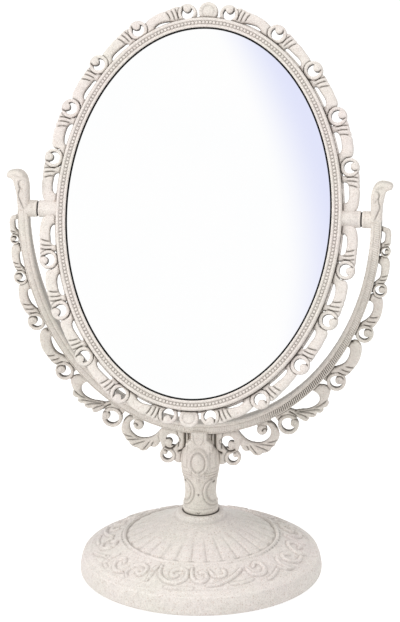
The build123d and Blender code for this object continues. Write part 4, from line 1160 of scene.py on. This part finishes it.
for side, name, nd in ((-1, "neck_front", "neck_front_shell"), (1, "neck_rear", "neck_rear_shell")):
    ob = add_object(name, [neck_half(side)], [PLASTIC_STAND], None, 55)
    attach(ob, "stand")
    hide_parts(nd)
    print(name, len(ob.data.polygons))


# ------------------------------------------------------------------ base
# scrollwork of the outer band, one third of the way round; front centre is (0, -r)
BAND = [
    # points, ridge height, ridge half width
    ([(-30.4, -42.0), (-30.6, -38.4), (-27.4, -36.2), (-23.8, -36.2), (-21.2, -38.2), (-21.2, -41.2), (-23.6, -42.6), (-25.6, -41.0)], 0.75, 1.0),
    ([(-19.6, -46.8), (-18.2, -43.0), (-16.6, -40.0), (-14.6, -38.2)], 0.65, 0.9),
    ([(-13.6, -38.8), (-14.2, -42.4), (-12.4, -46.6), (-8.4, -49.2), (-3.8, -49.0), (-1.0, -46.2), (-1.0, -42.8), (-3.2, -41.2), (-6.2, -41.6), (-8.2, -43.6), (-7.2, -45.8), (-5.2, -45.4)], 0.8, 1.05),
    ([(1.3, -40.4), (1.5, -44.4), (3.4, -47.6), (6.8, -48.2), (8.9, -46.0), (8.0, -43.2), (5.6, -42.8)], 0.75, 1.0),
    ([(9.2, -40.4), (12.2, -43.6), (15.6, -43.4), (17.2, -40.8), (15.8, -38.8)], 0.7, 0.95),
    ([(9.8, -50.2), (14.6, -48.2), (19.0, -44.6), (22.2, -40.2), (24.0, -36.2)], 0.7, 0.9),
    ([(20.8, -46.4), (25.6, -44.2), (30.2, -40.0)], 0.5, 0.8),
    ([(26.4, -34.6), (29.8, -36.8), (33.8, -35.2), (35.2, -31.4), (32.8, -28.4), (29.8, -29.2), (29.6, -32.0)], 0.75, 1.0),
    ([(37.6, -36.6), (39.8, -32.0), (40.8, -27.2)], 0.5, 0.8),
    ([(-33.0, -38.6), (-36.6, -36.2), (-38.0, -32.0), (-36.2, -28.4), (-33.2, -29.2), (-32.8, -32.2)], 0.75, 1.0),
    ([(-41.6, -31.4), (-43.6, -27.0), (-42.4, -22.8)], 0.5, 0.8),
    ([(-36.6, -24.2), (-40.4, -24.8), (-43.4, -28.4)], 0.6, 0.85),
    ([(-10.6, -51.6), (-4.0, -52.4), (3.0, -52.2)], 0.3, 0.7),
]


def base_mesh():
    seg = 640
    # outline from the foot of the wall to the seat of the neck
    out = np.array(BASE_SIDE + BASE_TOP, float)
    smooth = spline(out[:len(BASE_SIDE) + 6], 4, False)
    rest = out[len(BASE_SIDE) + 6:]
    path = np.concatenate([smooth[:-1], [out[len(BASE_SIDE) + 5]], rest])
    d = np.r_[0, np.cumsum(np.hypot(*np.diff(path, axis=0).T))]
    pts = [path[0]]
    for k in range(1, len(path)):
        a, b = path[k - 1], path[k]
        r = (a[0] + b[0]) / 2
        want = 0.4 if 39 < r < 53 else (0.3 if 36 < r <= 39 or r < 12.6 else (0.75 if r < 36 else 0.8))
        n = max(1, int(round(np.hypot(*(b - a)) / want)))
        for j in range(1, n + 1):
            pts.append(a + (b - a) * j / n)
    path = np.array(pts)
    tang = np.gradient(path, axis=0)
    nrm = np.stack([-tang[:, 1], tang[:, 0]], -1) * -1.0
    nrm /= np.linalg.norm(nrm, axis=1)[:, None]
    nrm *= np.sign(nrm[:, 1] + nrm[:, 0] * 0.01)[:, None]
    th = np.arange(seg) / seg * 2 * math.pi
    R, T = np.broadcast_to(path[:, 0], (seg, len(path))), np.broadcast_to(th[:, None], (seg, len(path)))
    rel, shade_val = np.zeros(R.shape), np.zeros(R.shape)
    # flutes: a groove at the front centre, 29 in all, with painted shade in each
    n = 29
    ph = (T / (2 * math.pi) * n) % 1.0
    off = np.minimum(ph, 1 - ph) * (2 * math.pi / n) * R
    ends = step(R, 18.0, 30.0) * (1 - step(R, 34.6, 35.8)) * (path[:, 1] < 28.4)[None]
    rel -= 0.34 * np.exp(-np.square(off / 0.7)) * ends
    shade_val = np.maximum(shade_val, 0.22 * np.exp(-np.square(off / 0.55)) * ends)
    mid = (0.5 - np.minimum(ph, 1 - ph)) * 2
    rel += 0.3 * dome(mid) * ends
    # rounded ends of the petals against the ring, with painted shade in the pockets
    scal = 35.9 - 1.3 * np.square(mid)
    pocket = step(R, scal, scal + 0.5) * (1 - step(R, 36.3, 36.7))
    rel -= 0.25 * pocket
    shade_val = np.maximum(shade_val, 0.45 * pocket)
    # fine lines beside the raised ring, with painted shade in them; on the outer line it is heavier and dotted at the
    # left and right sides
    flank = step(np.abs(np.sin(T)), 0.75, 0.97)
    dots = 0.55 + 0.45 * np.sin(T * 97 + 1.3 * np.sin(T * 23))
    for rr, dep, dark, side in ((36.5, 0.16, 0.05, 0.0), (38.75, 0.26, 0.1, 0.8)):
        ln = np.exp(-np.square((R - rr) / 0.3)) * (path[:, 1] < 20)[None]
        rel -= dep * ln
        shade_val = np.maximum(shade_val, (dark + side * flank * dots) * ln)
    # scrolls of the outer band, the same on each third
    sector = (T + math.pi / 3) % (2 * math.pi / 3) - math.pi / 3
    X, Y = R * np.sin(sector), -R * np.cos(sector)
    zone = ((R > 38.9) & (R < 54.5) & (path[:, 1] > 10)[None])
    xs, ys = X[zone], Y[zone]
    z_rel, z_shade = np.zeros(xs.shape), np.zeros(xs.shape)
    for points, height, width in BAND:
        p = spline(points, 5, False)
        for turn in (-1, 0, 1):
            c, s = math.cos(turn * 2 * math.pi / 3), math.sin(turn * 2 * math.pi / 3)
            q = np.stack([p[:, 0] * c - p[:, 1] * s, p[:, 0] * s + p[:, 1] * c], -1)
            near = (xs > q[:, 0].min() - 3) & (xs < q[:, 0].max() + 3) & (ys > q[:, 1].min() - 3) & (ys < q[:, 1].max() + 3)
            if not near.any():
                continue
            px, py = xs[near], ys[near]
            best = np.full(px.shape, 1e9)
            along = np.zeros(px.shape)
            m = len(q) - 1
            for k in range(m):
                e = q[k + 1] - q[k]
                wx, wy = px - q[k][0], py - q[k][1]
                t = np.clip((wx * e[0] + wy * e[1]) / (e @ e + 1e-12), 0, 1)
                dd = np.hypot(wx - e[0] * t, wy - e[1] * t)
                hit = dd < best
                best[hit] = dd[hit]
                along[hit] = ((k + t) / m)[hit]
            wd = width * (0.6 + 0.4 * step(along, 0, 0.15) * (1 - step(along, 0.9, 1.0)) + 0.25 * step(along, 0.85, 1.0))
            up = 1.15 * height * dome(np.clip(best / wd, 0, 1))
            gro = np.exp(-np.square((best - wd - 0.15) / 0.5))
            z_rel[near] = np.where(best < wd, np.maximum(z_rel[near], up), z_rel[near] - 0.3 * gro * (z_rel[near] <= 0.02))
            # painted shade in the groove beside each scroll
            z_shade[near] = np.where(best < wd, 0, np.maximum(z_shade[near], 0.26 * gro))
    rel[zone] += z_rel
    shade_val[zone] = np.maximum(shade_val[zone], z_shade)
    # faint step that frames the band, with painted shade in it
    ln = np.exp(-np.square((R - 53.4) / 0.45)) * ((path[:, 1] > 10) & (path[:, 1] < 13))[None]
    rel -= 0.22 * ln
    shade_val = np.maximum(shade_val, 0.12 * ln)
    # crisp turn from the slope to the wall: a raised lip at the turn, and painted shade over the whole wall below it
    shade_val = np.maximum(shade_val, 0.1 * (1 - step(path[:, 1], 8.4, 8.8))[None] * np.ones(R.shape))
    rel += 0.6 * np.exp(-np.square((R - 57.0) / 0.75)) * ((path[:, 1] > 8) & (path[:, 1] < 11))[None]
    # seat of the neck, fully in painted shade, with fainter painted shade in the ring round it
    seat = ((path[:, 0] < 9.2) & (path[:, 1] > 30))[None] * np.ones(R.shape)
    shade_val = np.maximum(shade_val, seat)
    ring = np.exp(-np.square((R - 12.4) / 0.5)) * (path[:, 1] > 28)[None]
    shade_val = np.maximum(shade_val, 0.2 * ring)
    rad = path[:, 0][None] + rel * nrm[:, 0][None]
    zz = path[:, 1][None] + rel * nrm[:, 1][None]
    inner = np.array([(3.0, 31.0), (3.0, 24.0), (8.0, 24.0), (8.0, 27.0), (12.0, 25.6), (21.0, 21.8), (30.0, 18.2), (37.4, 15.8), (45.0, 12.6), (52.0, 9.4), (55.6, 7.2), (56.6, 4.5), (56.8, 0.5)])
    rad = np.concatenate([rad, np.broadcast_to(inner[:, 0], (seg, len(inner)))], 1)
    zz = np.concatenate([zz, np.broadcast_to(inner[:, 1], (seg, len(inner)))], 1)
    # painted shade over the whole inside of the dome
    shade_val = np.concatenate([shade_val, np.full((seg, len(inner)), 0.6)], 1)
    g = np.stack([rad * np.sin(th)[:, None], -rad * np.cos(th)[:, None], zz], -1)
    return sweep(g, shade_val=shade_val)


ob = add_object("base_dome", [base_mesh()], [PLASTIC_BASE], None, 50)
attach(ob, "stand")
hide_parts("base_shell")
print("base", len(ob.data.polygons))

# ------------------------------------------------------------------ CAD nodes left showing
FINISH = {
    "glass_spacer": BOARD, "pivot_pin_left": STEEL, "pivot_pin_right": STEEL, "pivot_bush_left": NYLON, "pivot_bush_right": NYLON,
    "friction_washer_left": RUBBER, "friction_washer_right": RUBBER, "neck_screws": STEEL, "neck_insert": BRASS, "tie_bolt": STEEL,
    "tie_bolt_washer": STEEL, "ballast_plate": STEEL, "base_cover": PLASTIC_STAND, "cover_screws": STEEL, "base_pad": FOAM,
}
for n, m in FINISH.items():
    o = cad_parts[n]
    o.data.materials.clear()
    o.data.materials.append(m)

# ------------------------------------------------------------------ camera
D, E, PSI, RHO, F_PX = 1600.0, math.radians(18.52), math.radians(7.86), math.radians(-0.349), 3341.465
back = Vector((math.sin(PSI) * math.cos(E), -math.cos(PSI) * math.cos(E), math.sin(E)))
right = Vector((math.cos(PSI), math.sin(PSI), 0))
up = back.cross(right)
if up.z < 0:
    up = -up
target = Vector((0, 0, 133.475)) + right * 0.195
eye = target + back * D
r2 = right * math.cos(RHO) + up * math.sin(RHO)
u2 = -right * math.sin(RHO) + up * math.cos(RHO)
cam_data = bpy.data.cameras.new("camera")
cam = bpy.data.objects.new("camera", cam_data)
bpy.context.scene.collection.objects.link(cam)
cam_data.sensor_width = 36.0
cam_data.sensor_fit = "AUTO"
cam_data.lens = F_PX / 622 * 36.0
cam_data.clip_start, cam_data.clip_end = 0.05, 30.0
m = Matrix.Identity(4)
for col, vec in enumerate((r2, u2, back)):
    for row in range(3):
        m[row][col] = vec[row]
for row in range(3):
    m[row][3] = eye[row] * MM
cam.matrix_world = m
bpy.context.scene.camera = cam

# ------------------------------------------------------------------ studio
floor_me = bpy.data.meshes.new("floor")
S = 6.0
floor_me.from_pydata([(-S, -S, 0), (S, -S, 0), (S, S, 0), (-S, S, 0)], [], [(0, 1, 2, 3)])
floor = bpy.data.objects.new("floor", floor_me)
bpy.context.scene.collection.objects.link(floor)
fm = bpy.data.materials.new("white_sweep")
fm.use_nodes = True
nt = fm.node_tree
nt.nodes.clear()
out = nt.nodes.new("ShaderNodeOutputMaterial")
dif = nt.nodes.new("ShaderNodeBsdfDiffuse")
emi = nt.nodes.new("ShaderNodeEmission")
add = nt.nodes.new("ShaderNodeAddShader")
tc = nt.nodes.new("ShaderNodeTexCoord")
nz = node(nt, "TexNoise", Scale=3.0, Detail=2.0)
nt.links.new(tc.outputs["Object"], nz.inputs["Vector"])
nt.links.new(ramp(nt, nz.outputs["Fac"], [(0.3, (0.60, 0.60, 0.60, 1)), (0.7, (0.62, 0.62, 0.615, 1))]), dif.inputs["Color"])
emi.inputs["Color"].default_value = (1, 1, 1, 1)
flp = nt.nodes.new("ShaderNodeLightPath")
seen_floor = maths(nt, "MAXIMUM", flp.outputs["Is Camera Ray"], flp.outputs["Is Glossy Ray"])
nt.links.new(maths(nt, "ADD", maths(nt, "MULTIPLY", seen_floor, 0.25), 0.4), emi.inputs["Strength"])
nt.links.new(dif.outputs[0], add.inputs[0])
nt.links.new(emi.outputs[0], add.inputs[1])
nt.links.new(add.outputs[0], out.inputs[0])
floor_me.materials.append(fm)

world = bpy.data.worlds.new("studio")
bpy.context.scene.world = world
world.use_nodes = True
nt = world.node_tree
nt.nodes.clear()
out = nt.nodes.new("ShaderNodeOutputWorld")
seen, lit, pick = nt.nodes.new("ShaderNodeBackground"), nt.nodes.new("ShaderNodeBackground"), nt.nodes.new("ShaderNodeMixShader")
lp = nt.nodes.new("ShaderNodeLightPath")
geo = nt.nodes.new("ShaderNodeTexCoord")
sep = nt.nodes.new("ShaderNodeSeparateXYZ")
nt.links.new(geo.outputs["Generated"], sep.inputs[0])
# one side of the studio is faintly tinted, and shows in the glass
x, z = sep.outputs[0], sep.outputs[2]


def band(src, a, b, c, d):
    up_ = node(nt, "MapRange", interpolation_type="SMOOTHSTEP")
    nt.links.new(src, up_.inputs[0])
    for k, val in zip((1, 2, 3, 4), (a, b, 0.0, 1.0)):
        up_.inputs[k].default_value = val
    dn = node(nt, "MapRange", interpolation_type="SMOOTHSTEP")
    nt.links.new(src, dn.inputs[0])
    for k, val in zip((1, 2, 3, 4), (c, d, 1.0, 0.0)):
        dn.inputs[k].default_value = val
    return maths(nt, "MULTIPLY", up_.outputs[0], dn.outputs[0])


h = maths(nt, "SUBTRACT", z, 0.46)
bend = maths(nt, "ADD", maths(nt, "MULTIPLY", h, -0.129), maths(nt, "MULTIPLY", maths(nt, "MULTIPLY", h, h), 5.98))
across = maths(nt, "ADD", maths(nt, "ADD", x, 0.1056), bend)
lav_x = band(across, -0.001, 0.0165, 0.05, 0.09)
lav_z = band(z, 0.42, 0.452, 0.54, 0.56)
amount = maths(nt, "MULTIPLY", lav_x, lav_z)
col = mix(nt, amount, (1.0, 1.0, 1.0, 1.0), lin(226, 229, 251))
nt.links.new(col, seen.inputs["Color"])
seen.inputs["Strength"].default_value = 1.0
# brighter overhead than from below
nt.links.new(ramp(nt, maths(nt, "ADD", maths(nt, "MULTIPLY", sep.outputs[2], 0.5), 0.5),
                  [(0.3, (0.30, 0.30, 0.30, 1)), (0.55, (0.55, 0.548, 0.54, 1)), (1.0, (1.0, 0.995, 0.985, 1))]), lit.inputs["Color"])
lit.inputs["Strength"].default_value = 0.83
view_or_gloss = maths(nt, "MAXIMUM", lp.outputs["Is Camera Ray"], lp.outputs["Is Glossy Ray"])
nt.links.new(view_or_gloss, pick.inputs[0])
nt.links.new(lit.outputs[0], pick.inputs[1])
nt.links.new(seen.outputs[0], pick.inputs[2])
nt.links.new(pick.outputs[0], out.inputs[0])


def area(name, place, aim, size, power, colour=(1, 1, 1)):
    ld = bpy.data.lights.new(name, "AREA")
    ld.shape, ld.size, ld.energy, ld.color = "DISK", size, power, colour
    lo = bpy.data.objects.new(name, ld)
    bpy.context.scene.collection.objects.link(lo)
    lo.location = place
    lo.rotation_mode = "QUATERNION"
    lo.rotation_quaternion = (Vector(aim) - Vector(place)).to_track_quat("-Z", "Y")
    return lo


area("key", (-1.65, -1.1, 0.95), (0, 0, 0.13), 0.9, 17.5, (1.0, 0.99, 0.975))
area("fill", (1.2, -1.5, 0.9), (0, 0, 0.13), 0.9, 5.0, (0.98, 0.99, 1.0))
area("top", (0.35, -0.75, 2.1), (0, 0, 0.03), 0.8, 11.5, (1.0, 0.995, 0.985))

sc = bpy.context.scene
sc.view_settings.view_transform = "Standard"
sc.view_settings.look = "None"
sc.view_settings.exposure = 0.0
sc.view_settings.gamma = 1.0
